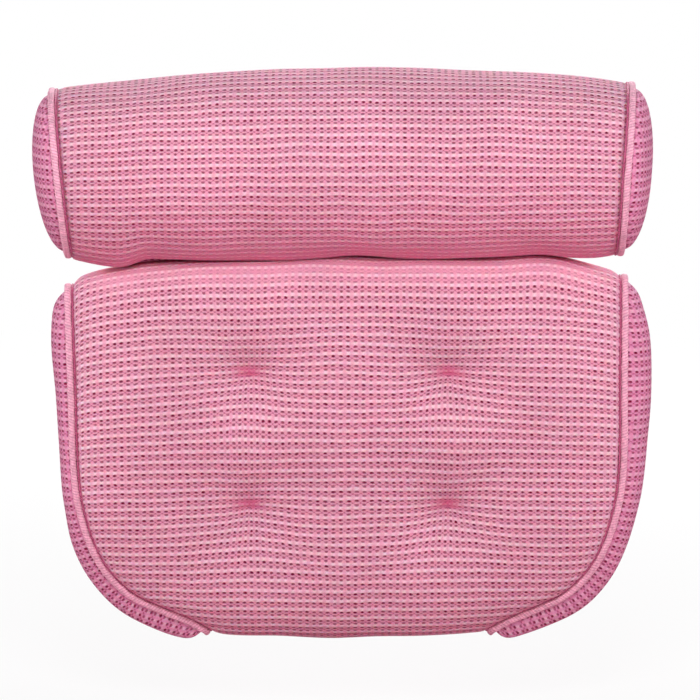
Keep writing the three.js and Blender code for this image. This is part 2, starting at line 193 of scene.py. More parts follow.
def sideOf(cushion):
    # the seam's half width at a height, and the way the side faces there
    if "seamShares" not in cushion:
        middleZ, half = cushion["seamMiddleZ"], cushion["seamHalfHeight"]
        return lambda z: (cushion["seamHalfLength"] + cushion["seamLean"] * (z - middleZ) / half, 1.0, 0.0)
    top = cushion["seamMiddleZ"] + cushion["seamHalfHeight"]
    height = 2 * cushion["seamHalfHeight"]
    width = cushion["seamHalfLength"]
    corners = [np.array((share * width, top - drop * height)) for share, drop in cushion["seamShares"]]
    path = smoothPath(corners)[::-1]
    along = np.gradient(path, axis=0)
    along /= np.linalg.norm(along, axis=1)[:, None]

    def side(z):
        x = np.interp(z, path[:, 1], path[:, 0])
        outX = np.interp(z, path[:, 1], along[:, 1])
        outZ = np.interp(z, path[:, 1], -along[:, 0])
        return x, outX, outZ

    return side


def bulgeOf(cushion, end):
    # how far an end panel stands out beyond its welt at a height from 1 to -1
    most = cushion["bulge"][end] - sewing["weltGap"] - sewing["weltWidth"]
    if not cushion["bulgeShares"]:
        return lambda row: most * fullness(row, 2)
    path = smoothPath([np.array(point, float) for point in cushion["bulgeShares"][end]])[::-1]
    return lambda row: most * max(0, np.interp(row, path[:, 0], path[:, 1]))


for cushion in (roll, pad):
    cushion["side"] = sideOf(cushion)
    cushion["bulgeAt"] = {end: bulgeOf(cushion, end) for end in (-1, 1)}


def halfOf(pair, row):
    return pair[0] if row > 0 else pair[1]


def rightShift(cushion, row):
    # how far the right seam stands out beyond the left one at a height from 1 to -1
    atTop, atFoot = cushion["rightShift"]
    return atTop * min(1, max(0, row)) + atFoot * min(1, max(0, -row))


def seamPoint(cushion, row, front, inset, end, out):
    # a point of the loop where the wrap is sewn to an end panel
    middleX, middleY = cushion["middle"][:2]
    z = cushion["seamMiddleZ"] + (cushion["seamHalfHeight"] - inset) * row
    taper = 1 - cushion["seamTaper"] * ((1 - row) / 2) ** 3
    depth = cushion["seamFrontDepth" if front else "seamBackDepth"] * taper - inset
    depth *= fullness(row, halfOf(cushion["seamPower"], row)) * (-1 if front else 1)
    x, outX, outZ = cushion["side"](z)
    if end > 0:
        x += rightShift(cushion, row)
        foot, top = cushion["rightRise"]
        z += foot + (top - foot) * (1 + row) / 2
    return np.array((middleX + end * (x + out * outX), middleY + depth, z + out * outZ))


def sectionPoint(cushion, row, front):
    # a point of the middle section, as y and z
    top, bottom = cushion["frontDepth"]
    if front:
        depth = -(bottom + (top - bottom) * (1 + row) / 2) * fullness(row, halfOf(cushion["frontPower"], row))
    else:
        depth = cushion["backDepth"] * fullness(row, cushion["backPower"])
    return cushion["middle"][1] + depth, cushion["middle"][2] + cushion["halfHeight"] * row


def crownAt(cushion, row, across):
    across -= cushion["peak"] * (1 - across**2)
    above, below = (max(0.0, 1 - abs(across) ** power) ** root for power, root in cushion["crown"])
    return below + (above - below) * (1 + row) / 2


def wrapPoint(cushion, row, front, across, pulled=True):
    seam = seamPoint(cushion, row, front, 0, 1 if across > 0 else -1, 0)
    middleX = cushion["middle"][0]
    middleY, middleZ = sectionPoint(cushion, row, front)
    crown = crownAt(cushion, row, across)
    x = middleX + abs(across) * (seam[0] - middleX)
    y = seam[1] + (middleY - seam[1]) * crown
    z = seam[2] + (middleZ - seam[2]) * crown
    if pulled and cushion["tufts"]:
        side = "front" if front else "back"
        away = min(math.hypot(x - tuftX, z - tuftZ) for tuftX, tuftZ in cushion["tufts"])
        dimple = math.exp(-((away / tufting[side + "Radius"]) ** tufting["fall"]))
        pull = tufting[side + "Depth"] * dimple * crown
        y += pull if front else -pull
    return np.array((x, y, z))


def evenRows(cushion, step):
    # heights from top to bottom, so spaced that neither the front nor the back leaves wide cells
    turns = np.linspace(0, math.pi, fineSteps["rows"])
    lengths = []
    for front in (True, False):
        points = np.array([sectionPoint(cushion, math.cos(turn), front) for turn in turns])
        lengths.append(np.linalg.norm(np.diff(points, axis=0), axis=1))
    total = np.concatenate(([0], np.cumsum(np.maximum(*lengths))))
    count = round(total[-1] / step)
    rows = np.cos(np.interp(np.linspace(0, total[-1], count + 1), total, turns))
    rows[0], rows[-1] = 1, -1
    return rows


def evenColumns(cushion, step):
    shares = np.sin(np.linspace(-math.pi / 2, math.pi / 2, fineSteps["columns"]))
    points = np.array([wrapPoint(cushion, 0, True, share, False) for share in shares])
    total = np.concatenate(([0], np.cumsum(np.linalg.norm(np.diff(points, axis=0), axis=1))))
    count = 2 * round(total[-1] / step / 2)
    columns = np.interp(np.linspace(0, total[-1], count + 1), total, shares)
    columns[0], columns[-1] = -1, 1
    return columns


def meshObject(name, points, faces, uvs=None):
    # points in millimetres; uvs hold a corner's place on the flat cloth, in millimetres too
    mesh = bpy.data.meshes.new(name)
    mesh.from_pydata([tuple(point) for point in np.asarray(points) * mm], [], faces)
    if uvs is not None:
        layer = mesh.uv_layers.new(name="cloth")
        flat = [value * mm for face in uvs for corner in face for value in corner]
        layer.data.foreach_set("uv", flat)
    for polygon in mesh.polygons:
        polygon.use_smooth = True
    made = bpy.data.objects.new(name, mesh)
    bpy.context.collection.objects.link(made)
    return made


# The knit's own pitch: one stitch along a row, and one row of paired holes with its rib
knit = {
    "stitch": 4.2,
    "row": 6,
    "columnStep": 4.4,  # of the cloth that is simulated
    "endCuts": 5,  # across the plain disc inside an end panel
}

# Unevenness of a filled cloth, and of the knit in it
uneven = {
    "lump": 1.5,
    "lumpSize": 42,
    "lumpStretch": 1.3,
    "pucker": 1,
    "puckerSize": 8,
    "puckerStretch": 0.3,
    "puckerReach": 14,
    "hemCalm": 6,  # how near a seam the lumps die away
    "rib": 0.25,
    "ribHem": 4,
    "ribBack": 0.3,  # the ribs are that much lower on the back
    "drift": 0.9,  # how far the knit strays from its straight rows
    "driftSize": 26,
    "hemReach": 1.4,  # how near its seams the knit is drawn tight, so that its holes close
    "hemTight": 0.6,
    # painted shade in the groove between the wrap and its welt: how far the colour deepens there
    "hemPaintedShade": 0.45,
    "backFrom": 18,  # how far behind its middle a cushion's back begins, where lumps and ribs fade
    "backFade": 20,
    "ribFrom": 30,
    "ribFade": 10,
}


def drawnIn(cushion, row, front, across):
    # the same place on the cloth once the tufts and the sewing have drawn the knit askew
    x, y, z = wrapPoint(cushion, row, front, across, False)
    stray = noise.noise_vector(Vector((x, y, z)) / uneven["driftSize"]) * uneven["drift"]
    moveX, moveZ = stray.x, stray.y
    if front:
        for tuftX, tuftZ in cushion["tufts"]:
            away = math.hypot(x - tuftX, z - tuftZ)
            fall = math.exp(-((away / tufting["drawnFar"]) ** 2))
            pull = tufting["drawn"] * fall / (away + tufting["drawnNear"])
            moveX -= (x - tuftX) * pull
            moveZ -= (z - tuftZ) * pull
    # the seams and the edges keep their places
    held = max(0, 1 - abs(across) ** 12) * max(0, 1 - row**4)
    half = cushion["seamHalfLength"]
    return row + moveZ * held / cushion["halfHeight"], front, across + moveX * held / half


def wrapObject(name, cushion):
    # the wrap as one closed form: its cloth all round, and a plain disc inside each end panel
    cuts = knit["endCuts"]
    rows = evenRows(cushion, knit["row"] / 2)
    columns = evenColumns(cushion, knit["columnStep"])
    places = [(row, True) for row in rows] + [(row, False) for row in rows[-2:0:-1]]
    rowCount, columnCount = len(places), len(columns)
    drawn = [[drawnIn(cushion, row, front, share) for share in columns] for row, front in places]
    # rounded, because the simulation would make much of a difference in a last digit
    start = np.round([[wrapPoint(cushion, *place) for place in line] for line in drawn], 4)
    flat = np.round([[wrapPoint(cushion, *place, False) for place in line] for line in drawn], 4)

    # the knit runs across the cushion, and every second row of points is the crest of a rib
    middle = columnCount // 2
    down = np.arange(rowCount + 1) * knit["row"] / 2
    even = np.array([[wrapPoint(cushion, *place, share, False) for share in columns] for place in places])
    steps = np.linalg.norm(np.diff(even, axis=1), axis=2)
    across = np.concatenate((np.zeros((rowCount, 1)), np.cumsum(steps, axis=1)), axis=1)
    across -= across[:, middle : middle + 1]

    points = list(start.reshape(-1, 3))
    restPoints = list(flat.reshape(-1, 3))
    faces, uvs = [], []
    for i in range(rowCount):
        for j in range(columnCount - 1):
            cells = [(i, j), (i + 1, j), (i + 1, j + 1), (i, j + 1)]
            faces.append(tuple(a % rowCount * columnCount + b for a, b in cells))
            uvs.append([(across[a % rowCount, b], down[a]) for a, b in cells])

    frontCount = len(rows)
    pinned = set()
    for end, column in ((-1, 0), (1, columnCount - 1)):
        lines = []
        for i in range(frontCount):
            frontIndex = i * columnCount + column
            backIndex = ((rowCount - i) % rowCount) * columnCount + column
            line = [frontIndex]
            if 0 < i < frontCount - 1:
                for cut in range(1, cuts + 1):
                    line.append(len(points))
                    point = start[i, column] + (points[backIndex] - start[i, column]) * cut / (cuts + 1)
                    points.append(point)
                    restPoints.append(point)
                line.append(backIndex)
            pinned.update(line)
            lines.append(line)
        for upper, lower in zip(lines, lines[1:]):
            for cut in range(cuts + 1):
                corners = [
                    upper[min(cut, len(upper) - 1)], lower[min(cut, len(lower) - 1)],
                    lower[min(cut + 1, len(lower) - 1)], upper[min(cut + 1, len(upper) - 1)],
                ]
                corners = list(dict.fromkeys(corners))
                if end < 0:
                    corners.reverse()
                faces.append(tuple(corners))
                uvs.append([(points[corner][1], points[corner][2]) for corner in corners])

    made = meshObject(name, points, faces, uvs)
    for tuftX, tuftZ in cushion["tufts"]:
        for index, point in enumerate(restPoints[: rowCount * columnCount]):
            if math.hypot(point[0] - tuftX, point[2] - tuftZ) < tufting["pinRadius"]:
                pinned.add(index)
    return made, np.array(restPoints), sorted(pinned)


# Filling: how each cushion's cloth takes its pressure
stuffing = {
    "frames": 20,
    "cloth": {
        "quality": 6,
        "mass": 0.3,
        "tension_stiffness": 25,
        "compression_stiffness": 25,
        "shear_stiffness": 10,
        "bending_stiffness": 4,
    },
}


def stuff(cloth, restPoints, pinned, cushion):
    # cloth simulation: the filling presses out, while the seams and the tufts hold
    start = readPoints(cloth.data)
    cloth.shape_key_add(name="Basis", from_mix=False)
    restKey = cloth.shape_key_add(name="flat", from_mix=False)
    restKey.data.foreach_set("co", (restPoints * mm).astype(np.float32).ravel())
    restKey.value = 0
    cloth.vertex_groups.new(name="sewn").add(pinned, 1, "REPLACE")
    modifier = cloth.modifiers.new("filling", "CLOTH")
    settings = modifier.settings
    for name, value in stuffing["cloth"].items():
        setattr(settings, name, value)
    settings.use_pressure = True
    settings.uniform_pressure_force = cushion["pressure"]
    settings.vertex_group_mass = "sewn"
    settings.rest_shape_key = restKey
    settings.effector_weights.gravity = 0
    modifier.collision_settings.use_collision = False
    modifier.point_cache.frame_start = 1
    modifier.point_cache.frame_end = stuffing["frames"]
    scene = bpy.context.scene
    for now in range(1, stuffing["frames"] + 1):
        scene.frame_set(now)
    shaped = cloth.evaluated_get(bpy.context.evaluated_depsgraph_get())
    moved = readPoints(shaped.data) - start
    cloth.modifiers.remove(modifier)
    cloth.shape_key_clear()
    cloth.vertex_groups.clear()
    length = np.linalg.norm(moved, axis=1)
    print(cloth.name, "swelled by up to", round(float(length.max()), 1), "mm")
    moved *= np.minimum(1, cushion["swellCap"] / np.maximum(length, 1e-6))[:, None]
    writePoints(cloth.data, start + moved)
    scene.frame_set(1)


# Where the roll rests on the pad: heights along X, so the two cushions press together in a soft wave
contact = {
    "line": [
        (-190, 0), (-165, -2.2), (-142, -4.8), (-131, -3.9), (-120, 0.5), (-106, 0.3), (-60, 0.1),
        (-38, 0.6), (-23, 2), (3, 3.2), (17, 2.5), (30, 1.7), (48, 1.6), (75, 1.8), (104, 2.9), (118, 3.4),
        (129, 2.4), (140, 0.8), (155, -0.2), (190, -1),
    ],
    "reach": 34,  # how far above and below it the cloth follows
    "gap": 0.3,
    "softness": 0.8,
    "fullAt": 126,  # the pad's top is fuller near its right end
    "fullReach": 22,
    "fullRise": 4.4,
    "forward": 13,  # how far the filling leans forward at the pad's top
    "leanFrom": -25,  # the depth where it begins to lean, and how softly
    "leanFade": 18,
    "rise": 0.16,  # how much the pad rises for each millimetre that it leans
    "lift": 1.5,
    "liftReach": 30,
    "below": -80,  # a height that is under the pad's top everywhere
    "tightReach": {"neck_roll": 16, "pad": 12},  # how far from the line the knit's holes close
    "tight": 0.8,
    "tightMost": 1.3,
    "deep": {"neck_roll": 0.5, "pad": 0.2},  # painted shade: how far the colour deepens towards the line, and over what reach
    "paintedShadeReach": {"neck_roll": 21, "pad": 2.5},
}
contactPath = smoothPath([np.array(point, float) for point in contact["line"]])


def pressTogether(cloth, above):
    # the roll's underside and the pad's top follow the contact line and flatten there
    points = readPoints(cloth.data)
    level = np.interp(points[:, 0], contactPath[:, 0], contactPath[:, 1])
    side = 1 if above else -1
    share = np.clip(1 - side * points[:, 2] / contact["reach"], 0, 1)
    share = share * share * (3 - 2 * share)
    if above:
        points[:, 2] += level * share
    else:
        full = np.exp(-(((points[:, 0] - contact["fullAt"]) / contact["fullReach"]) ** 2))
        points[:, 2] += contact["fullRise"] * full * share
    over = (points[:, 2] - level) * side - contact["gap"] / 2
    soft = contact["softness"]
    kept = soft * np.logaddexp(0, over / soft)
    points[:, 2] = np.where(over < 4 * soft, level + side * (kept + contact["gap"] / 2), points[:, 2])
    writePoints(cloth.data, points)


def leanForward(cloth):
    # the pad is fullest at its top, where it stands forward under the roll
    points = readPoints(cloth.data)
    across = np.clip(abs(points[:, 0] - pad["middle"][0]) / pad["seamHalfLength"], 0, 1)
    ahead = np.clip((contact["leanFrom"] - points[:, 1]) / contact["leanFade"], 0, 1) * (1 - across**6)
    height = np.clip(1 + points[:, 2] / (2 * pad["halfHeight"]), 0, 1)
    top = np.clip(1 + points[:, 2] / contact["liftReach"], 0, 1)
    points[:, 1] -= contact["forward"] * height * ahead
    ahead *= 1 - across**3
    points[:, 2] += (contact["forward"] * contact["rise"] * height + contact["lift"] * top) * ahead
    writePoints(cloth.data, points)


def seatUnder(cloth, tree, softness):
    # the pad's top takes the shape of the roll's underside where they touch
    points = readPoints(cloth.data)
    for point in points:
        if point[2] < -contact["liftReach"]:
            continue
        hit = tree.ray_cast(Vector((point[0], point[1], contact["below"])) * mm, Vector((0, 0, 1)))[0]
        if hit:
            ceiling = hit.z / mm - contact["gap"]
            point[2] = ceiling - softness * np.logaddexp(0, (ceiling - point[2]) / softness)
    writePoints(cloth.data, points)


def readPoints(mesh):
    flat = np.zeros(len(mesh.vertices) * 3, np.float32)
    mesh.vertices.foreach_get("co", flat)
    return flat.reshape(-1, 3).astype(float) / mm


def writePoints(mesh, points):
    mesh.vertices.foreach_set("co", (points * mm).astype(np.float32).ravel())
    mesh.update()


def applyModifier(piece, kind, **values):
    modifier = piece.modifiers.new(kind.lower(), kind)
    for name, value in values.items():
        setattr(modifier, name, value)
    bpy.context.view_layer.objects.active = piece
    with bpy.context.temp_override(object=piece, active_object=piece, selected_objects=[piece]):
        bpy.ops.object.modifier_apply(modifier=modifier.name)


def subdivide(piece):
    applyModifier(piece, "SUBSURF", levels=1, render_levels=1)


def seamReach(cushion, x, z):
    # how far a place on the wrap lies from the nearer end seam
    away = x - cushion["middle"][0]
    half, outX, outZ = cushion["side"](z)
    if away > 0:
        half += rightShift(cushion, (z - cushion["seamMiddleZ"]) / cushion["seamHalfHeight"])
    return (half - abs(away)) * outX


def layKnit(cloth, cushion):
    # slow lumps of filling, puckers along the end seams, and the ribs that the knit stands up in
    mesh = cloth.data
    points = readPoints(mesh)
    behind = points[:, 1] - cushion["middle"][1]
    normals = np.array([vertex.normal[:] for vertex in mesh.vertices])
    reach = np.array([seamReach(cushion, x, z) for x, y, z in points])
    move = np.zeros(len(points))
    for i, (x, y, z) in enumerate(points):
        lump = noise.noise(Vector((x, y * uneven["lumpStretch"], z)) / uneven["lumpSize"]) * uneven["lump"]
        near = max(0, 1 - reach[i] / uneven["puckerReach"])
        pucker = noise.noise(Vector((x * uneven["puckerStretch"], y, z)) / uneven["puckerSize"])
        move[i] = lump + pucker * uneven["pucker"] * near
    move *= np.clip(reach / uneven["hemCalm"], 0, 1)
    for tuftX, tuftZ in cushion["tufts"]:
        away = (points[:, 0] - tuftX) ** 2 + (points[:, 2] - tuftZ) ** 2
        move *= 1 - np.exp(-away / (2 * tufting["calm"] ** 2))
    # the back keeps its place, because other pieces lie on it
    move *= np.clip((uneven["backFrom"] - behind) / uneven["backFade"], 0, 1)
    corners = np.zeros(len(mesh.loops), np.int32)
    mesh.loops.foreach_get("vertex_index", corners)
    flat = np.zeros(len(mesh.loops) * 2, np.float32)
    mesh.uv_layers["cloth"].data.foreach_get("uv", flat)
    down = np.zeros(len(points))
    down[corners] = flat[1::2] / mm
    rib = np.clip((uneven["ribFrom"] - behind) / uneven["ribFade"], uneven["ribBack"], 1) * uneven["rib"]
    move -= rib * np.cos(2 * math.pi * down / knit["row"]) * np.clip(reach / uneven["ribHem"], 0, 1)
    writePoints(mesh, points + normals * move[:, None])

    # where the knit is drawn or squeezed tight its holes close; the colour deepens there as painted shade in
    # the seam grooves, under the roll where it rests on the pad, and in the tuft dimples
    body = cushion["body"]
    hem = np.exp(-((np.maximum(reach, 0) / uneven["hemReach"]) ** 2))
    away = abs(points[:, 2] - np.interp(points[:, 0], contactPath[:, 0], contactPath[:, 1]))
    squeezed = np.clip(contact["tightMost"] - away / contact["tightReach"][body], 0, 1)
    tight = np.maximum(uneven["hemTight"] * hem, contact["tight"] * squeezed)
    # painted shade: the colour deepens near the contact line, most on the roll's underside, where shade falls
    # between the cushions
    paintedContactShade = contact["deep"][body] * np.exp(-away / contact["paintedShadeReach"][body])
    # painted shade: the colour deepens in the groove along each seam, and near the contact line
    deep = np.maximum(uneven["hemPaintedShade"] * hem, paintedContactShade)
    for tuftX, tuftZ in cushion["tufts"]:
        wide = (points[:, 0] - tuftX) / tufting["smearWidth"]
        high = (points[:, 2] - tuftZ - tufting["smearRise"]) / tufting["smearHeight"]
        # painted shade in each dimple, a little above the tuft, where the holes also close
        tuftPinchAndShade = np.exp(-(wide**2) - high**2) * (behind < 0)
        tight = np.maximum(tight, tufting["tight"] * tuftPinchAndShade)
        deep = np.maximum(deep, tufting["deep"] * tuftPinchAndShade)
    for name, values in (("tight", tight), ("deep", deep)):
        mesh.attributes.new(name, "FLOAT", "POINT").data.foreach_set("value", values.astype(np.float32))


def surfaceOf(cloth):
    mesh = cloth.data
    corners = [vertex.co.copy() for vertex in mesh.vertices]
    return BVHTree.FromPolygons(corners, [tuple(polygon.vertices) for polygon in mesh.polygons])


rollCloth, *rollSewn = wrapObject("rollCloth", roll)
padCloth, *padSewn = wrapObject("padCloth", pad)
print("wraps laid out:", len(rollCloth.data.vertices), len(padCloth.data.vertices))
stuff(rollCloth, *rollSewn, roll)
stuff(padCloth, *padSewn, pad)
pressTogether(rollCloth, True)
subdivide(rollCloth)
layKnit(rollCloth, roll)
underside = surfaceOf(rollCloth)
pressTogether(padCloth, False)
leanForward(padCloth)
seatUnder(padCloth, underside, contact["softness"])
subdivide(padCloth)
layKnit(padCloth, pad)
seatUnder(padCloth, underside, contact["gap"])

# End panels: a bulging piece of the same cloth in each end, its edge tucked in behind the welt
panelGrid = {"step": 3.5, "across": 12, "tipPower": 14, "endTurn": 0.02}


def endPanel(name, cushion, end):
    edge = sewing["weltDepth"] + sewing["sewnGap"]
    flush = sewing["weltGap"] + sewing["weltWidth"]
    count = round(2 * cushion["seamHalfHeight"] / panelGrid["step"])
    rows = np.cos(np.linspace(panelGrid["endTurn"], math.pi - panelGrid["endTurn"], count))
    shares = np.sin(np.linspace(-math.pi / 2, math.pi / 2, panelGrid["across"] + 1))
    layers = []
    low = flush - sewing["fabricThickness"]
    for out in (flush, low):
        layer = []
        for row in rows:
            bulge = cushion["bulgeAt"][end](row)
            tip = fullness(row, panelGrid["tipPower"])
            line = []
            for share in shares:
                reach = low + (out - low + bulge * math.sqrt(max(0, 1 - share**2))) * tip
                back = seamPoint(cushion, row, False, edge, end, reach)
                front = seamPoint(cushion, row, True, edge, end, reach)
                line.append(back + (front - back) * (share + 1) / 2)
            layer.append(line)
        layers.append(np.array(layer))
    outer, inner = layers
    across = np.cumsum(np.linalg.norm(np.diff(outer, axis=1, prepend=outer[:, :1]), axis=2), axis=1)
    across -= across[:, panelGrid["across"] // 2][:, None]
    middle = outer[:, panelGrid["across"] // 2]
    down = np.concatenate(([0], np.cumsum(np.linalg.norm(np.diff(middle, axis=0), axis=1))))
    rowCount, columnCount = outer.shape[:2]
    points = np.concatenate((outer.reshape(-1, 3), inner.reshape(-1, 3)))
    under = rowCount * columnCount
    faces, uvs = [], []

    def addFace(*cells):
        # each cell is a place in the grid, on the outer layer at 0 or the inner one at 1
        if end < 0:
            cells = cells[::-1]
        faces.append(tuple(under * layer + i * columnCount + j for i, j, layer in cells))
        uvs.append([(across[i, j], down[i]) for i, j, layer in cells])

    for i in range(rowCount - 1):
        for j in range(columnCount - 1):
            addFace((i, j, 0), (i, j + 1, 0), (i + 1, j + 1, 0), (i + 1, j, 0))
            addFace((i + 1, j, 1), (i + 1, j + 1, 1), (i, j + 1, 1), (i, j, 1))
    lastRow, lastColumn = rowCount - 1, columnCount - 1
    rim = [(0, j) for j in range(lastColumn)] + [(i, lastColumn) for i in range(lastRow)]
    rim += [(lastRow, j) for j in range(lastColumn, 0, -1)] + [(i, 0) for i in range(lastRow, 0, -1)]
    for (a, b), (c, d) in zip(rim, rim[1:] + rim[:1]):
        addFace((a, b, 0), (a, b, 1), (c, d, 1), (c, d, 0))
    made = meshObject(name, points, faces, uvs)
    subdivide(made)
    return made


# Welts: an overlocked strip round each end seam, its slanted ribs laid like rope
welt = {
    "ribPitch": 1.8,
    "ribHeight": 0.2,
    "stepsPerRib": 4,
    "sides": 16,
    "slantRibs": 3,
    "roundness": 0.8,  # at 1 its section is an ellipse, and below that it is squarer
    "lump": 0.14,  # the sewing isn't even, so it swells and narrows by this share
    "lumpSize": 4,
}


def resample(values, length, at):
    return np.stack([np.interp(at, length, values[:, axis]) for axis in range(3)], axis=1)


def unit(vectors):
    return vectors / np.linalg.norm(vectors, axis=-1)[..., None]


def evenLoop(cushion, end, inset, out, pitch, stepsPerPitch=1):
    # points evenly spaced along a seam's loop, its ways along, outwards and across, and its length
    turns = np.linspace(0, 2 * math.pi, fineSteps["seam"])
    rows = [(math.cos(turn), turn < math.pi) for turn in turns]
    middle = np.array([seamPoint(cushion, *row, inset, end, out) for row in rows])
    outward = np.array([seamPoint(cushion, *row, inset, end, out + 1) for row in rows]) - middle
    length = np.concatenate(([0], np.cumsum(np.linalg.norm(np.diff(middle, axis=0), axis=1))))
    count = round(length[-1] / pitch) * stepsPerPitch
    at = np.linspace(0, length[-1], count, endpoint=False)
    points = resample(middle, length, at)
    along = unit(np.roll(points, -1, axis=0) - np.roll(points, 1, axis=0))
    outward = resample(outward, length, at)
    outward = unit(outward - along * np.sum(outward * along, axis=1)[:, None])
    return points, along, outward, np.cross(along, outward), length[-1]


def weltStrip(name, cushion, end):
    out = sewing["weltGap"] + sewing["weltWidth"] / 2
    inset = (sewing["weltDepth"] - sewing["weltRise"]) / 2
    halfWidth = sewing["weltWidth"] / 2
    halfRise = (sewing["weltDepth"] + sewing["weltRise"]) / 2
    steps = welt["stepsPerRib"]
    points, along, outward, away, length = evenLoop(cushion, end, inset, out, welt["ribPitch"], steps)
    count = len(points)
    if np.sum(away * (points - points.mean(axis=0)), axis=1).mean() < 0:
        away = -away
    # each ring of points leans along the strip, and meets itself a few ribs further on
    sides, turnsOn = welt["sides"], welt["slantRibs"] * steps
    at = np.arange(count)[:, None] + turnsOn * np.arange(sides)[None, :] / sides
    low, share = np.floor(at).astype(int) % count, (at % 1)[..., None]

    def leaning(values):
        return values[low] * (1 - share) + values[(low + 1) % count] * share

    angles = np.linspace(0, 2 * math.pi, sides, endpoint=False)
    phase = 2 * math.pi * np.arange(count) / steps
    loose = np.array([noise.noise(Vector(point) / welt["lumpSize"]) for point in points]) * welt["lump"]
    rib = (1 + loose - welt["ribHeight"] / halfWidth * (0.5 - 0.5 * np.cos(phase)))[:, None, None]

    def widened(shares, half):
        return np.copysign(abs(shares) ** welt["roundness"], shares)[None, :, None] * half * rib

    wide, high = widened(np.cos(angles), halfWidth), widened(np.sin(angles), halfRise)
    rings = leaning(points) + leaning(outward) * wide + leaning(away) * high

    girth = 2 * math.pi * halfWidth
    faces, uvs = [], []
    for i in range(count):
        for j in range(sides):
            ahead = turnsOn if j + 1 == sides else 0
            corners = [(i, j), (i + 1, j), (i + 1 + ahead, (j + 1) % sides), (i + ahead, (j + 1) % sides)]
            faces.append(tuple(a % count * sides + b for a, b in corners))
            marks = ((i, j), (i + 1, j), (i + 1, j + 1), (i, j + 1))
            uvs.append([(length * a / count, girth * b / sides) for a, b in marks])
    made = meshObject(name, rings.reshape(-1, 3), faces, uvs)
    faceOutwards(made)
    return made


def faceOutwards(piece):
    selectOnly(piece)
    bpy.ops.object.mode_set(mode="EDIT")
    bpy.ops.mesh.select_all(action="SELECT")
    bpy.ops.mesh.normals_make_consistent(inside=False)
    bpy.ops.object.mode_set(mode="OBJECT")


def selectOnly(piece):
    bpy.ops.object.select_all(action="DESELECT")
    piece.select_set(True)
    bpy.context.view_layer.objects.active = piece


# Stitches: short runs of dark thread that lie in the valley between a wrap and its welt
stitch = {
    "pitch": 3.2,
    "length": 3.1,
    "radius": 0.7,
    "sides": 6,
    "rise": 0.6,
    "inward": 0.05,
    "proud": 0.1,  # above flat cloth
    # a stitch swells in its middle: shares of its length and of its radius
    "form": [(-0.04, 0.45), (0.08, 0.9), (0.5, 1.06), (0.92, 0.9), (1.04, 0.45)],
}


def ringRound(middle, side, up, radius, sides):
    angles = np.linspace(0, 2 * math.pi, sides, endpoint=False)
    return [middle + (side * math.cos(angle) + up * math.sin(angle)) * radius for angle in angles]


def stitchRun(start, stop, side, up):
    # a short rounded run of thread from start to stop
    along = stop - start
    radius, sides = stitch["radius"], stitch["sides"]
    return [ringRound(start + along * at, side, up, radius * size, sides) for at, size in stitch["form"]]


def threadsObject(name, runs):
    # closed threads, each from its rings of points
    points, faces = [], []
    for rings in runs:
        base, sides = len(points), len(rings[0])
        for ring in rings:
            points.extend(ring)
        for i in range(len(rings) - 1):
            for j in range(sides):
                corners = [(i, j), (i, (j + 1) % sides), (i + 1, (j + 1) % sides), (i + 1, j)]
                faces.append(tuple(base + a * sides + b for a, b in corners))
        faces.append(tuple(base + j for j in range(sides - 1, -1, -1)))
        faces.append(tuple(base + (len(rings) - 1) * sides + j for j in range(sides)))
    made = meshObject(name, points, faces)
    faceOutwards(made)
    return made


def seamStitches(name, cushion, end):
    loop = evenLoop(cushion, end, -stitch["rise"], -stitch["inward"], stitch["pitch"])
    runs = []
    for point, along, outward, away in zip(*loop[:4]):
        half = along * stitch["length"] / 2
        runs.append(stitchRun(point - half, point + half, outward, away))
    return threadsObject(name, runs)


ends = {"left": -1, "right": 1}
panels, welts, seams = {}, {}, {}
for cushionName, cushion, panelName in (("roll", roll, "rollEnd"), ("pad", pad, "padSide")):
    for side, end in ends.items():
        key = cushionName + side.capitalize()
        panels[key] = endPanel(panelName + side.capitalize(), cushion, end)
        welts[key] = weltStrip(cushionName + "Welt" + side.capitalize(), cushion, end)
        seams[key] = seamStitches(cushionName + "Stitches" + side.capitalize(), cushion, end)
print("end panels, welts and seam stitches made")

# Tufts: a bar of thread sunk in each dimple, with its knots behind
tuftBar = {
    "halfWidth": 4.2,
    "taper": 0.12,  # the outer strands are shorter
    "spacing": 0.55,
    "strands": 3,
    "radius": 0.35,
    "endSize": 0.55,
    "sides": 8,
    "proud": 0.5,
    "sunk": 0.7,
    "wander": 0.25,
    "steps": 9,
}


def surfaceAt(tree, x, z, front):
    # where the cloth's front or back lies, at a place on the cushion
    way = Vector((0, 1 if front else -1, 0))
    hit = tree.ray_cast(Vector((x * mm, 0, z * mm)) - way * 0.5, way)[0]
    return hit.y / mm


surfaces = {"roll": surfaceOf(rollCloth), "pad": surfaceOf(padCloth)}


def threadRun(path, radius, sides):
    # rings of points along a thread that bends in one plane
    path = np.array(path, float)
    along = unit(np.gradient(path, axis=0))
    side = np.array((0.0, 0.0, 1.0))
    rings = []
    for i, middle in enumerate(path):
        size = tuftBar["endSize"] if i in (0, len(path) - 1) else 1
        rings.append(ringRound(middle, side, np.cross(side, along[i]), radius * size, sides))
    return rings


def tuftThreads(name, x, z):
    runs = []
    for front in (True, False):
        deep = surfaceAt(surfaces["pad"], x, z, front)
        way = -1 if front else 1
        for i in range(tuftBar["strands"]):
            lift = (i - (tuftBar["strands"] - 1) / 2) * tuftBar["spacing"]
            width = tuftBar["halfWidth"] * (1 - tuftBar["taper"] * abs(lift))
            path = []
            for share in np.linspace(-1, 1, tuftBar["steps"]):
                arch = tuftBar["proud"] * math.cos(share * math.pi / 2) ** 0.7 - tuftBar["sunk"]
                wave = tuftBar["wander"] * math.sin(3 * share + i)
                path.append((x + share * width, deep + way * arch, z + lift + wave))
            runs.append(threadRun(path, tuftBar["radius"], tuftBar["sides"]))
    return threadsObject(name, runs)


tufts = [tuftThreads(f"tuftThread{i + 1}", x, z) for i, (x, z) in enumerate(pad["tufts"])]
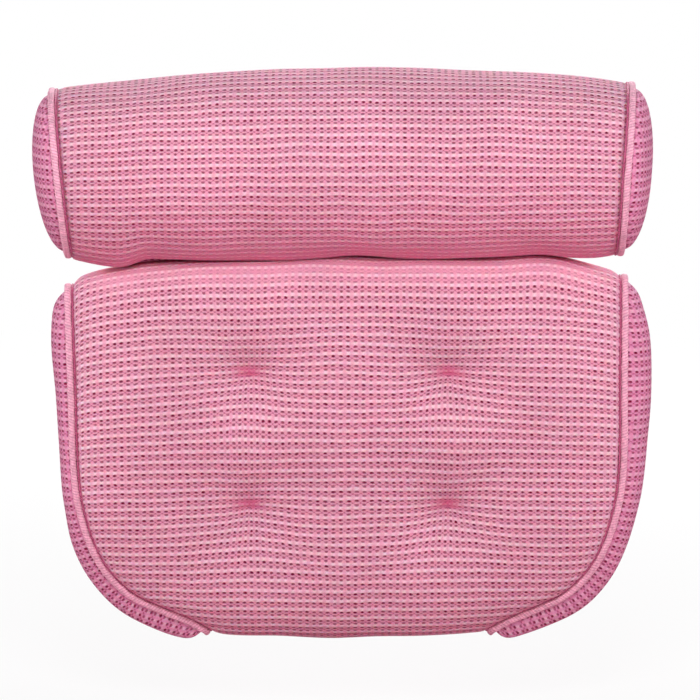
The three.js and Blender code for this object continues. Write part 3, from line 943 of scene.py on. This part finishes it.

# Fold strip: one band of the same cloth, sewn to both backs, laid across the groove where the roll folds
strip = {
    "halfLength": 130,
    "middleX": 1.9,
    "halfHeight": 34,
    "thickness": 1.8,
    "chordY": -12.7,  # its inner face where it crosses the groove between the cushions
    "gap": 0.3,
    "columns": 66,
    "rows": 34,
    "seamInset": 3.2,
    "freeHalf": 12,  # half the height where it hangs free of the cushions
    "edge": 0.5,
    "bend": 9,  # half the height over which it turns
}


def stripY(x, z):
    above = z > 0
    tree, far = surfaces["roll" if above else "pad"], strip["halfHeight"] * (1 if above else -1)
    edge = surfaceAt(tree, x, far, False)
    chord = strip["chordY"] + (edge + strip["gap"] - strip["chordY"]) * (z / far)
    if abs(z) <= strip["freeHalf"]:
        return chord
    return max(chord, surfaceAt(tree, x, z, False) + strip["gap"])


def foldStrip(name):
    xs = strip["middleX"] + np.linspace(-1, 1, strip["columns"] + 1) * strip["halfLength"]
    zs = np.linspace(1, -1, strip["rows"] + 1) * strip["halfHeight"]
    points = [(x, stripY(x, z), z) for z in zs for x in xs]
    faces = []
    for i in range(len(zs) - 1):
        for j in range(len(xs) - 1):
            corners = [(i, j), (i, j + 1), (i + 1, j + 1), (i + 1, j)]
            faces.append(tuple(a * len(xs) + b for a, b in corners))
    uvs = [[(points[corner][0], points[corner][2]) for corner in face] for face in faces]
    made = meshObject(name, points, faces, uvs)
    applyModifier(made, "SOLIDIFY", thickness=strip["thickness"] * mm, offset=1)
    applyModifier(
        made, "BEVEL",
        width=strip["edge"] * mm, segments=2, limit_method="ANGLE", angle_limit=math.radians(50),
    )
    return made


def stripStitches(name, z):
    runs = []
    first = strip["seamInset"] - strip["halfLength"]
    backward, upward = np.array((0, 1.0, 0)), np.array((0, 0, 1.0))
    for i in range(round(-2 * first / stitch["pitch"])):
        x = strip["middleX"] + first + i * stitch["pitch"]
        y = stripY(x, z) + strip["thickness"] + stitch["proud"]
        runs.append(stitchRun(np.array((x, y, z)), np.array((x + stitch["length"], y, z)), backward, upward))
    return threadsObject(name, runs)


stripCloth = foldStrip("foldStrip")
stripSeams = {
    "neck_roll": stripStitches("foldStitchesRoll", strip["halfHeight"] - strip["seamInset"]),
    "pad": stripStitches("foldStitchesPad", strip["seamInset"] - strip["halfHeight"]),
}
print("tufts and fold strip made")

# Suction cups, and the patches they button into. Each stands where its solid stands
cup = {
    "radius": 28,
    "rimWidth": 6,
    "lipThickness": 1,
    "hollowDepth": 3.2,
    "neckRadius": 4.9,
    "flareRadius": 9,
    "headRadius": 8.4,
    "headThickness": 2.4,
    "sides": 72,
    "gripRadius": 14,
    "gripRise": 0.4,
    "tabReach": 8,
    "tabFaces": 4,
    "tabForm": [(0.15, 1), (0.45, 1), (0.2, 0.94), (0.13, 0.72), (0.07, 0.5)],  # shares of reach and width
    "smoothAngle": 38,
}
patch = {
    "radius": 20,
    "hem": 6,
    "thickness": 1.6,
    "clothThickness": 1.1,
    "room": 3.4,
    "holeRadius": 5.6,
    "clear": 0.3,
    "sides": 64,
    "seamRadius": 17.3,
    "eyeletStitches": 30,
    "eyeletReach": (0.4, 2.6),  # where its stitches begin and end beyond the hole
}


def drawOut(steps):
    # extrudes the selected edge or face along a profile: each step is a scale and a move along Y
    for middle, scale, move in steps:
        bpy.ops.mesh.extrude_region_move()
        bpy.ops.transform.resize(value=(scale, 1, scale), center_override=middle)
        bpy.ops.transform.translate(value=(0, move * mm, 0))


def turnedPiece(name, x, z, profile, sides, filled):
    # a ring or disc drawn out along a profile of radii and places, as on a lathe
    bpy.ops.object.select_all(action="DESELECT")
    radius, y = profile[0]
    bpy.ops.mesh.primitive_circle_add(
        vertices=sides, radius=radius * mm, fill_type="NGON" if filled else "NOTHING",
        location=(x * mm, y * mm, z * mm), rotation=(math.pi / 2, 0, 0),
    )
    piece = bpy.context.object
    piece.name = piece.data.name = name
    bpy.ops.object.transform_apply(location=True, rotation=True, scale=True)
    bpy.ops.object.mode_set(mode="EDIT")
    bpy.ops.mesh.select_all(action="SELECT")
    drawOut(
        [
            ((x * mm, before[1] * mm, z * mm), after[0] / before[0], after[1] - before[1])
            for before, after in zip(profile, profile[1:])
        ]
    )
    bpy.ops.object.mode_set(mode="OBJECT")
    return piece


def cupProfile(headBase):
    head, neck, flare = cup["headRadius"], cup["neckRadius"], cup["flareRadius"]
    grip, lip, hollow = cup["gripRadius"], cup["radius"], cup["hollowDepth"]
    neckTop = headBase + cup["headThickness"]
    shoulder = headBase + patch["room"] + patch["thickness"] + patch["clear"]
    rim = lip - cup["rimWidth"]

    def dish(radius, rise=0):
        # the dish's back, from the flare to the lip
        share = (radius - flare) / (lip - flare)
        return radius, shoulder + (-cup["lipThickness"] - shoulder) * share**1.15 - rise

    return [
        (head - 1.4, headBase),
        (head - 0.3, headBase + 0.3),
        (head, headBase + 0.9),
        (head, neckTop - 0.6),
        (head - 0.6, neckTop),
        (neck + 0.4, neckTop + 0.1),
        (neck, neckTop + 0.5),
        (neck, shoulder - 0.3),
        (neck + 0.4, shoulder),
        (flare, shoulder),
        dish(flare + 0.8),
        dish(grip - 1.2),
        dish(grip - 0.6, cup["gripRise"]),
        dish(grip + 0.6, cup["gripRise"]),
        dish(grip + 1.2),
        dish((flare + lip) / 2),
        dish(lip - 4),
        dish(lip - 1),
        (lip, -cup["lipThickness"]),
        (lip, -0.25),
        (lip - 0.3, 0),
        (rim, 0),
        (rim - 2, -0.35),
        (rim * 0.72, -hollow * 0.55),
        (rim * 0.5, -hollow * 0.8),
        (rim * 0.25, -hollow * 0.96),
        (1.2, -hollow),
    ]


def suctionCup(name, x, z, headBase):
    piece = turnedPiece(name, x, z, cupProfile(headBase), cup["sides"], True)
    # the pull tab grows from the faces at the foot of the lip
    mesh = piece.data
    tabHalf = cup["radius"] * math.sin(math.pi * cup["tabFaces"] / cup["sides"])
    for polygon in mesh.polygons:
        away = polygon.center / mm - Vector((x, 0, z))
        onLip = -cup["lipThickness"] < away.y < -0.2 and math.hypot(away.x, away.z) > cup["radius"] - 0.5
        polygon.select = onLip and away.z < 0 and abs(away.x) < tabHalf
    for edge in mesh.edges:
        edge.select = False
    for vertex in mesh.vertices:
        vertex.select = False
    bpy.ops.object.mode_set(mode="EDIT")
    bpy.ops.mesh.select_mode(type="FACE")
    foot = (x * mm, 0, (z - cup["radius"]) * mm)
    for reach, narrow in cup["tabForm"]:
        bpy.ops.mesh.extrude_region_move()
        bpy.ops.transform.resize(value=(narrow, 1, 1), center_override=foot)
        bpy.ops.transform.translate(value=(0, 0, -cup["tabReach"] * reach * mm))
    bpy.ops.mesh.select_all(action="SELECT")
    bpy.ops.mesh.normals_make_consistent(inside=False)
    bpy.ops.mesh.select_mode(type="VERT")
    bpy.ops.object.mode_set(mode="OBJECT")
    bpy.ops.object.shade_smooth_by_angle(angle=math.radians(cup["smoothAngle"]))
    return piece


def cupPatch(name, x, z, base, tree):
    flat = base + patch["thickness"]
    top = flat + patch["room"]
    hole, seam, rim = patch["holeRadius"], patch["seamRadius"], patch["radius"]
    step = rim - patch["hem"]
    profile = [
        (hole, top - 0.3),
        (hole + 0.5, top),
        (9.0, top),
        (10.4, top - 0.5),
        (step - 1.6, flat + 1.1),
        (step - 0.4, flat + 0.2),
        (step + 0.6, flat),
        (seam - 0.7, flat + 0.1),
        (seam, flat - 0.35),
        (seam + 0.7, flat + 0.1),
        (rim - 0.6, flat),
        (rim, flat - 0.5),
        (rim, flat - 1.2),
    ]
    piece = turnedPiece(name, x, z, profile, patch["sides"], False)
    layer = piece.data.uv_layers.new(name="cloth")
    for loop in piece.data.loops:
        point = piece.data.vertices[loop.vertex_index].co
        layer.data[loop.index].uv = (point.x, point.z)
    points = readPoints(piece.data)
    for point in points:
        # the hem lies on the cushion, and only the middle stands up round the cup's head
        away = math.hypot(point[0] - x, point[2] - z)
        share = min(1, max(0, (away - hole) / (step - hole)))
        point[1] += (surfaceAt(tree, point[0], point[2], False) + patch["clear"] - base) * share
    writePoints(piece.data, points)
    if sum(polygon.normal.y for polygon in piece.data.polygons) < 0:
        piece.data.flip_normals()
    applyModifier(piece, "SOLIDIFY", thickness=patch["clothThickness"] * mm, offset=-1)
    subdivide(piece)
    for polygon in piece.data.polygons:
        polygon.use_smooth = True
    return piece


def patchStitches(name, x, z, base, tree):
    flat = patch["thickness"] + patch["clear"]
    top = base + patch["room"] + patch["thickness"]
    out = np.array((0, 1.0, 0))
    runs = []

    def ways(i, count):
        # away from the patch's middle, and round it
        turn = 2 * math.pi * i / count
        cosine, sine = math.cos(turn), math.sin(turn)
        return np.array((cosine, 0, sine)), np.array((-sine, 0, cosine))

    count = round(2 * math.pi * patch["seamRadius"] / stitch["pitch"])
    for i in range(count):
        away, along = ways(i, count)
        middle = np.array((x, 0, z)) + away * patch["seamRadius"]
        middle[1] = surfaceAt(tree, middle[0], middle[2], False) + flat - stitch["proud"]
        half = along * stitch["length"] / 2
        runs.append(stitchRun(middle - half, middle + half, away, out))
    for i in range(patch["eyeletStitches"]):
        away, along = ways(i, patch["eyeletStitches"])
        middle = np.array((x, top + stitch["proud"] / 2, z))
        start, stop = (middle + away * (patch["holeRadius"] + beyond) for beyond in patch["eyeletReach"])
        runs.append(stitchRun(start, stop, along, out))
    return threadsObject(name, runs)


cups, patches, patchSeams = {}, {}, {}
for number in range(1, 7):
    low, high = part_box(f"cup_patch_{number}")
    x, z = (low.x + high.x) / 2 / mm, (low.z + high.z) / 2 / mm
    tree = surfaces["pad" if number <= 4 else "roll"]
    patches[number] = cupPatch(f"cupPatch{number}", x, z, low.y / mm, tree)
    patchSeams[number] = patchStitches(f"cupPatchStitches{number}", x, z, low.y / mm, tree)
    cups[number] = suctionCup(f"suctionCup{number}", x, z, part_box(f"suction_cup_{number}")[0].y / mm)
print("suction cups and their patches made")


def linear(hexColour):
    # an sRGB hex colour in the linear light that the shaders work in
    channels = [int(hexColour[i : i + 2], 16) / 255 for i in (1, 3, 5)]
    return tuple(c / 12.92 if c <= 0.04045 else ((c + 0.055) / 1.055) ** 2.4 for c in channels) + (1,)

def setSockets(tree, node, sockets):
    for socket, value in sockets.items():
        if isinstance(value, bpy.types.NodeSocket):
            tree.links.new(value, node.inputs[socket])
        else:
            node.inputs[socket].default_value = value


def addNode(tree, kind, sockets, output=0, **settings):
    made = tree.nodes.new("ShaderNode" + kind)
    for name, value in settings.items():
        setattr(made, name, value)
    setSockets(tree, made, sockets)
    return made.outputs[output]


def newMaterial(name):
    material = bpy.data.materials.new(name)
    material.use_nodes = True
    tree = material.node_tree
    return material, tree, tree.nodes["Principled BSDF"], partial(addNode, tree)


smooth = {"interpolation_type": "SMOOTHSTEP"}
blended = {"data_type": "RGBA", "output": 2}

# Spacer mesh: knitted polyester with paired holes between raised ribs. It is matt, with a soft sheen
# from its fine filaments. The end panels, the strip and the patches are a flatter, denser piece of it, set
# darker and more purple, the darkness partly painted shade for the end panels' sideways faces
meshLook = {
    "base": "#ECA8C0",
    # rib: the lighter colour of the painted highlight on the rib crests
    "rib": "#FCD3E0",
    # painted shade: the deep pink that the seam grooves, the roll's underside and the tuft dimples turn to
    "deep": "#DE3278",
    "hole": "#86123F",
    "lattice": "#B4406C",
    "holeWidth": 0.3,  # shares of the stitch and of the row
    "holeHeight": 0.155,
    "holeAt": 0.215,
    "gap": 0.13,
    "latticeWidth": 0.22,
    "relief": 0.85,
    "stray": (0.36, 0.22, 0),  # how far a hole strays from its place, in stitches and rows
    "filaments": 1500,  # turns of each noise to a metre
    "cloudiness": 16,
    "scatter": 0.4,
    "scatterReach": 18,
}
# darker and more purple than the front's knit, partly as painted shade for the end panels' sideways faces;
# its rib colour is a painted highlight too
sideLook = {**meshLook, "base": "#DF90B4", "rib": "#ECB3CB", "scatter": 0.2, "scatterReach": 3}


def knitMaterial(name, look):
    material, tree, shader, add = newMaterial(name)
    cloth = add("UVMap", {}, uv_map="cloth")
    place = add("TexCoord", {}, output="Object")
    pitch = (1 / (knit["stitch"] * mm), 1 / (knit["row"] * mm), 1)
    cells = add("VectorMath", {0: cloth, 1: pitch}, operation="MULTIPLY")
    loose = add("TexNoise", {"Vector": cells, "Scale": 1.1, "Detail": 2.0}, output="Color")
    loose = add("VectorMath", {0: loose, 1: (0.5, 0.5, 0.5)}, operation="SUBTRACT")
    cells = add("VectorMath", {0: loose, 1: look["stray"], 2: cells}, operation="MULTIPLY_ADD")
    split = add("SeparateXYZ", {0: cells}).node.outputs
    across = add("Math", {0: split[0], 1: 0.5}, operation="PINGPONG")
    down = add("Math", {0: split[1], 1: 0.5}, operation="PINGPONG")

    # paired holes above and below the row's middle: the upper ones darker, as painted shade from the rib
    # above them, and none quite alike
    offset = add("Math", {0: down, 1: look["holeAt"]}, operation="SUBTRACT")
    near = add("CombineXYZ", {0: across, 1: offset})
    size = (1 / look["holeWidth"], 1 / look["holeHeight"], 1)
    near = add("VectorMath", {0: near, 1: size}, operation="MULTIPLY")
    near = add("VectorMath", {0: near}, operation="LENGTH", output="Value")
    hole = add("MapRange", {0: near, 1: 1.15, 2: 0.5, 3: 0.0, 4: 1.0}, **smooth)
    spread = add("TexNoise", {"Vector": cells, "Scale": 1.6, "Detail": 0.0}, output="Fac")
    spread = add("MapRange", {0: spread, 1: 0.32, 2: 0.66, 3: 0.6, 4: 1.0})
    # painted shade: the upper hole of each pair is darker, as if shaded by the rib above it
    upper = add("Math", {0: split[1]}, operation="FRACT")
    upper = add("MapRange", {0: upper, 1: 0.45, 2: 0.55, 3: 0.72, 4: 1.0})
    spread = add("Math", {0: spread, 1: upper}, operation="MULTIPLY")
    tight = add("Attribute", {}, attribute_name="tight", output="Fac")
    whole = add("Math", {0: 1.0, 1: tight}, operation="SUBTRACT")
    spread = add("Math", {0: spread, 1: whole}, operation="MULTIPLY")
    hole = add("Math", {0: hole, 1: spread}, operation="MULTIPLY")

    # the crossing yarns between them: a thin shadow from each hole to a small gap in the middle of four
    slope = add("Math", {0: across, 1: 2.0}, operation="MULTIPLY")
    line = add("Math", {0: down, 1: 1 / look["holeAt"], 2: slope}, operation="MULTIPLY_ADD")
    line = add("Math", {0: line, 1: 1.0}, operation="SUBTRACT")
    line = add("Math", {0: line}, operation="ABSOLUTE")
    line = add("MapRange", {0: line, 1: look["latticeWidth"] * 2, 2: 0.0, 3: 0.0, 4: 0.45}, **smooth)
    gap = add("Math", {0: 0.5, 1: across}, operation="SUBTRACT")
    gap = add("CombineXYZ", {0: gap, 1: down})
    gap = add("VectorMath", {0: gap, 1: (1 / look["gap"], 1.4 / look["gap"], 1)}, operation="MULTIPLY")
    gap = add("VectorMath", {0: gap}, operation="LENGTH", output="Value")
    gap = add("MapRange", {0: gap, 1: 1.3, 2: 0.3, 3: 0.0, 4: 0.8}, **smooth)
    line = add("Math", {0: line, 1: gap}, operation="MAXIMUM")
    line = add("Math", {0: line, 1: whole}, operation="MULTIPLY")

    # the rib's chain of loops, fullest over each hole: a painted highlight on the rib crests, brightest over
    # each hole
    swell = add("Math", {0: split[0], 1: 2 * math.pi}, operation="MULTIPLY")
    swell = add("Math", {0: swell}, operation="COSINE")
    edge = add("Math", {0: swell, 1: 0.025, 2: down}, operation="MULTIPLY_ADD")
    rib = add("MapRange", {0: edge, 1: 0.25, 2: 0.4, 3: 0.0, 4: 1.0}, **smooth)
    loops = add("MapRange", {0: swell, 1: -1.0, 2: 1.0, 3: 0.15, 4: 1.0})
    crest = add("Math", {0: rib, 1: loops}, operation="MULTIPLY")

    # filaments, and slow changes of tone over the cushion
    fibre = add("TexNoise", {"Vector": place, "Scale": look["filaments"], "Detail": 2.0}, output="Fac")
    tone = add("TexNoise", {"Vector": place, "Scale": look["cloudiness"], "Detail": 2.0}, output="Fac")
    # painted highlight: the rib crests take the lighter rib colour
    colour = add("Mix", {0: crest, 6: linear(look["base"]), 7: linear(look["rib"])}, **blended)
    colour = add("Mix", {0: line, 6: colour, 7: linear(look["lattice"])}, **blended)
    colour = add("Mix", {0: hole, 6: colour, 7: linear(look["hole"])}, **blended)
    # painted shade: the colour turns deep pink where the deep attribute says, in the seam grooves, under the
    # roll and in the tuft dimples
    deep = add("Attribute", {}, attribute_name="deep", output="Fac")
    colour = add("Mix", {0: deep, 6: colour, 7: linear(look["deep"])}, **blended)
    tone = add("MapRange", {0: tone, 1: 0.3, 2: 0.7, 3: 0.94, 4: 1.04})
    shade = add("MapRange", {0: fibre, 1: 0.3, 2: 0.7, 3: 0.92, 4: 1.08})
    tone = add("Math", {0: tone, 1: shade}, operation="MULTIPLY")
    colour = add("VectorMath", {0: colour, "Scale": tone}, operation="SCALE")
    height = add("Math", {0: crest, 1: 0.35, 2: 0.5}, operation="MULTIPLY_ADD")
    height = add("Math", {0: line, 1: -0.5, 2: height}, operation="MULTIPLY_ADD")
    height = add("Math", {0: height, 1: hole}, operation="SUBTRACT")
    height = add("Math", {0: fibre, 1: 0.15, 2: height}, operation="MULTIPLY_ADD")
    bump = add("Bump", {"Height": height, "Distance": look["relief"] * mm, "Strength": 0.8})
    setSockets(tree, shader, {
        "Base Color": colour,
        "Normal": bump,
        "Roughness": 0.85,
        "Specular IOR Level": 0.15,
        "Sheen Weight": 0.05,
        "Sheen Roughness": 0.4,
        "Sheen Tint": linear("#FFB0C8"),
        "Subsurface Weight": look["scatter"],
        "Subsurface Radius": (1.0, 0.06, 0.15),
        "Subsurface Scale": look["scatterReach"] * mm,
    })
    return material


def weltMaterial():
    # overlocked edge of knitted polyester: close slanted threads, with a painted highlight on their crowns
    # and painted shade in the valleys between them
    material, tree, shader, add = newMaterial("overlockedWelt")
    cloth = add("UVMap", {}, uv_map="cloth")
    place = add("TexCoord", {}, output="Object")
    split = add("SeparateXYZ", {0: cloth}).node.outputs
    ribs = add("Math", {0: split[0], 1: 1 / (welt["ribPitch"] * mm)}, operation="MULTIPLY")
    valley = add("Math", {0: ribs, 1: 0.5}, operation="PINGPONG")
    valley = add("MapRange", {0: valley, 1: 0.15, 2: 0.5, 3: 0.0, 4: 1.0}, **smooth)
    strands = add("Math", {0: ribs, 1: 0.125}, operation="PINGPONG")
    fibre = add("TexNoise", {"Vector": place, "Scale": 1200.0, "Detail": 2.0}, output="Fac")
    # painted shade and highlight: the valleys between the threads darker, their crowns lighter
    colour = add("Mix", {0: valley, 6: linear("#F8BACF"), 7: linear("#E092B0")}, **blended)
    shade = add("MapRange", {0: fibre, 1: 0.3, 2: 0.7, 3: 0.9, 4: 1.08})
    mottle = add("TexNoise", {"Vector": place, "Scale": 420.0, "Detail": 1.0}, output="Fac")
    mottle = add("MapRange", {0: mottle, 1: 0.35, 2: 0.65, 3: 0.84, 4: 1.08})
    shade = add("Math", {0: shade, 1: mottle}, operation="MULTIPLY")
    colour = add("VectorMath", {0: colour, "Scale": shade}, operation="SCALE")
    height = add("Math", {0: strands, 1: 3.0, 2: fibre}, operation="MULTIPLY_ADD")
    bump = add("Bump", {"Height": height, "Distance": 0.15 * mm, "Strength": 0.7})
    setSockets(tree, shader, {
        "Base Color": colour,
        "Normal": bump,
        "Roughness": 0.75,
        "Sheen Weight": 0.2,
        "Sheen Tint": linear("#FFD9E6"),
    })
    return material


def threadMaterial():
    # bonded polyester thread: dark pink, smooth enough to catch a thin highlight on its twist
    material, tree, shader, add = newMaterial("bondedThread")
    place = add("TexCoord", {}, output="Object")
    waves = {"Vector": place, "Scale": 500.0, "Distortion": 2.0}
    twist = add("TexWave", waves, bands_direction="DIAGONAL", output="Fac")
    colour = add("Mix", {0: twist, 6: linear("#A43763"), 7: linear("#C9668E")}, **blended)
    bump = add("Bump", {"Height": twist, "Distance": 0.1 * mm, "Strength": 0.5})
    setSockets(tree, shader, {"Base Color": colour, "Normal": bump, "Roughness": 0.55})
    return material


def vinylMaterial():
    # clear plasticised PVC, injection moulded: glossy, a little cloudy, faintly cool
    material, tree, shader, add = newMaterial("clearVinyl")
    place = add("TexCoord", {}, output="Object")
    cloud = add("TexNoise", {"Vector": place, "Scale": 90.0, "Detail": 3.0}, output="Fac")
    colour = add("Mix", {0: cloud, 6: linear("#E6EEF1"), 7: linear("#F6FAFB")}, **blended)
    rough = add("MapRange", {0: cloud, 1: 0.3, 2: 0.7, 3: 0.1, 4: 0.24})
    ripple = add("TexNoise", {"Vector": place, "Scale": 260.0, "Detail": 1.0}, output="Fac")
    bump = add("Bump", {"Height": ripple, "Distance": 0.12 * mm, "Strength": 0.3})
    surface = {"Base Color": colour, "Roughness": rough, "Normal": bump}
    setSockets(tree, shader, {**surface, "IOR": 1.53, "Transmission Weight": 0.8})
    return material


spacerMesh = knitMaterial("spacerMesh", meshLook)
sideMesh = knitMaterial("spacerMeshSides", sideLook)
overlocked = weltMaterial()
thread = threadMaterial()
vinyl = vinylMaterial()


def finishPiece(piece, material, body, slot, *nodes):
    piece.data.materials.clear()
    piece.data.materials.append(material)
    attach(piece, body)
    if nodes:
        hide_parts(*nodes)


finishPiece(rollCloth, spacerMesh, "neck_roll", "air_mesh", "roll_cover", "roll_filling")
finishPiece(padCloth, spacerMesh, "pad", "air_mesh", "pad_cover", "pad_filling")
for cushionName, cushion, panelNode in (("roll", roll, "roll_end_"), ("pad", pad, "pad_side_")):
    for side in ends:
        key = cushionName + side.capitalize()
        finishPiece(panels[key], sideMesh, cushion["body"], "air_mesh", panelNode + side)
        finishPiece(welts[key], overlocked, cushion["body"], "welt", f"{cushionName}_welt_{side}")
        finishPiece(seams[key], thread, cushion["body"], "tie_thread")
for number, tuft in enumerate(tufts, 1):
    finishPiece(tuft, thread, "pad", "tie_thread", f"tuft_tie_{number}")
for body, seam in stripSeams.items():
    finishPiece(seam, thread, body, "tie_thread")
for number in cups:
    body = "pad" if number <= 4 else "neck_roll"
    finishPiece(patches[number], sideMesh, body, "air_mesh", f"cup_patch_{number}")
    finishPiece(patchSeams[number], thread, body, "tie_thread")
    finishPiece(cups[number], vinyl, f"cup_{number}", "cup_vinyl", f"suction_cup_{number}")
stripCloth.data.materials.append(sideMesh)
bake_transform(stripCloth)
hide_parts("roll_hinge_leaf", "pad_hinge_leaf")
print("pieces ride on their bodies")

# Studio: a floor below, near white to the camera but dark pink to reflected light, so that it throws pink
# light up into the pillow's shade, and a white surround. A soft lamp hangs above in front, one stands low in
# front, one at each side and one behind
studio = {
    "floorDrop": 45,  # below the pillow, which a tub's wall holds up
    "floorSize": 90000,
    "floorFade": (0.4, 1.5),  # metres over which the floor turns into the surround
    "floorShare": 0.8,
    "elevation": 9,
    "distance": 4000,
    "target": (4.6, -46, -56.2),
    "frameWidth": 429.8,  # what the photograph's 700 pixels span at the pillow
    "sensor": 36,
    "worldStrength": 0.07,
    # each lamp's place in metres, its size, its power and the height it aims at
    "lamps": {
        "keyLamp": ((0, -1.2, 0.62), 0.55, 9.6, 0),
        "frontLamp": ((0, -2.6, -0.3), 0.5, 42, -0.06),
        "leftLamp": ((-2.1, -0.35, 0.5), 1, 20, -0.06),
        "rightLamp": ((2.1, -0.35, 0.5), 1, 20, -0.06),
        "backLamp": ((0.2, 1.9, 1), 1.4, 50, -0.06),
    },
}


def areaLamp(name, place, size, power, aimHeight):
    data = bpy.data.lights.new(name, "AREA")
    data.energy = power
    data.shape = "DISK"
    data.size = size
    lamp = bpy.data.objects.new(name, data)
    lamp.location = place
    way = Vector((0, 0, aimHeight)) - Vector(place)
    lamp.rotation_euler = way.to_track_quat("-Z", "Y").to_euler()
    bpy.context.collection.objects.link(lamp)


def cameraRays(add):
    # rays that show the surround: straight from the camera, in a gloss or through clear plastic
    rays = add("LightPath", {}).node.outputs
    seen = add("Math", {0: rays["Is Camera Ray"], 1: rays["Is Glossy Ray"]}, operation="ADD")
    return add("Math", {0: seen, 1: rays["Is Transmission Ray"]}, operation="ADD", use_clamp=True)


bpy.ops.object.select_all(action="DESELECT")
floorHeight = cadBounds[0].z - studio["floorDrop"] * mm
bpy.ops.mesh.primitive_plane_add(size=studio["floorSize"] * mm, location=(0, 0, floorHeight))
floor = bpy.context.object
floor.name = "floor"
paper, tree, shader, add = newMaterial("whitePaper")
seen = cameraRays(add)
# painted light: reflected rays see the floor dark pink, so it throws pink light onto the pillow's shaded
# undersides; the camera sees it near white
greyToCameraPinkBounce = add("Mix", {0: seen, 6: linear("#904A5E"), 7: linear("#E0E0E0")}, **blended)
setSockets(tree, shader, {"Base Color": greyToCameraPinkBounce, "Roughness": 0.9})
glow = add("Emission", {"Color": (1, 1, 1, 1), "Strength": 1.0})
place = add("TexCoord", {}, output="Object")
away = add("VectorMath", {0: place}, operation="LENGTH", output="Value")
near, far = studio["floorFade"]
fade = add("MapRange", {0: away, 1: near, 2: far, 3: studio["floorShare"], 4: 1.0}, **smooth)
share = add("Math", {0: seen, 1: fade}, operation="MULTIPLY")
mixed = add("MixShader", {0: share, 1: shader.outputs[0], 2: glow})
tree.links.new(mixed, tree.nodes["Material Output"].inputs["Surface"])
floor.data.materials.append(paper)

world = bpy.data.worlds.new("studio")
bpy.context.scene.world = world
world.use_nodes = True
tree = world.node_tree
add = partial(addNode, tree)
soft = tree.nodes["Background"]
setSockets(tree, soft, {"Strength": studio["worldStrength"], "Color": linear("#FFE8EE")})
white = add("Background", {"Color": (1, 1, 1, 1), "Strength": 1.0})
mixed = add("MixShader", {0: cameraRays(add), 1: soft.outputs[0], 2: white})
tree.links.new(mixed, tree.nodes["World Output"].inputs["Surface"])

for name, lamp in studio["lamps"].items():
    areaLamp(name, *lamp)

camera = bpy.data.objects.new("camera", bpy.data.cameras.new("camera"))
bpy.context.collection.objects.link(camera)
target = Vector(studio["target"]) * mm
lift = math.radians(studio["elevation"])
back = Vector((0, -math.cos(lift), math.sin(lift)))
camera.location = target + back * studio["distance"] * mm
camera.rotation_euler = (-back).to_track_quat("-Z", "Y").to_euler()
camera.data.sensor_width = studio["sensor"]
camera.data.lens = studio["sensor"] * studio["distance"] / studio["frameWidth"]
camera.data.clip_end = 100
bpy.context.scene.camera = camera
bpy.context.scene.view_settings.view_transform = "Standard"
print("studio ready")
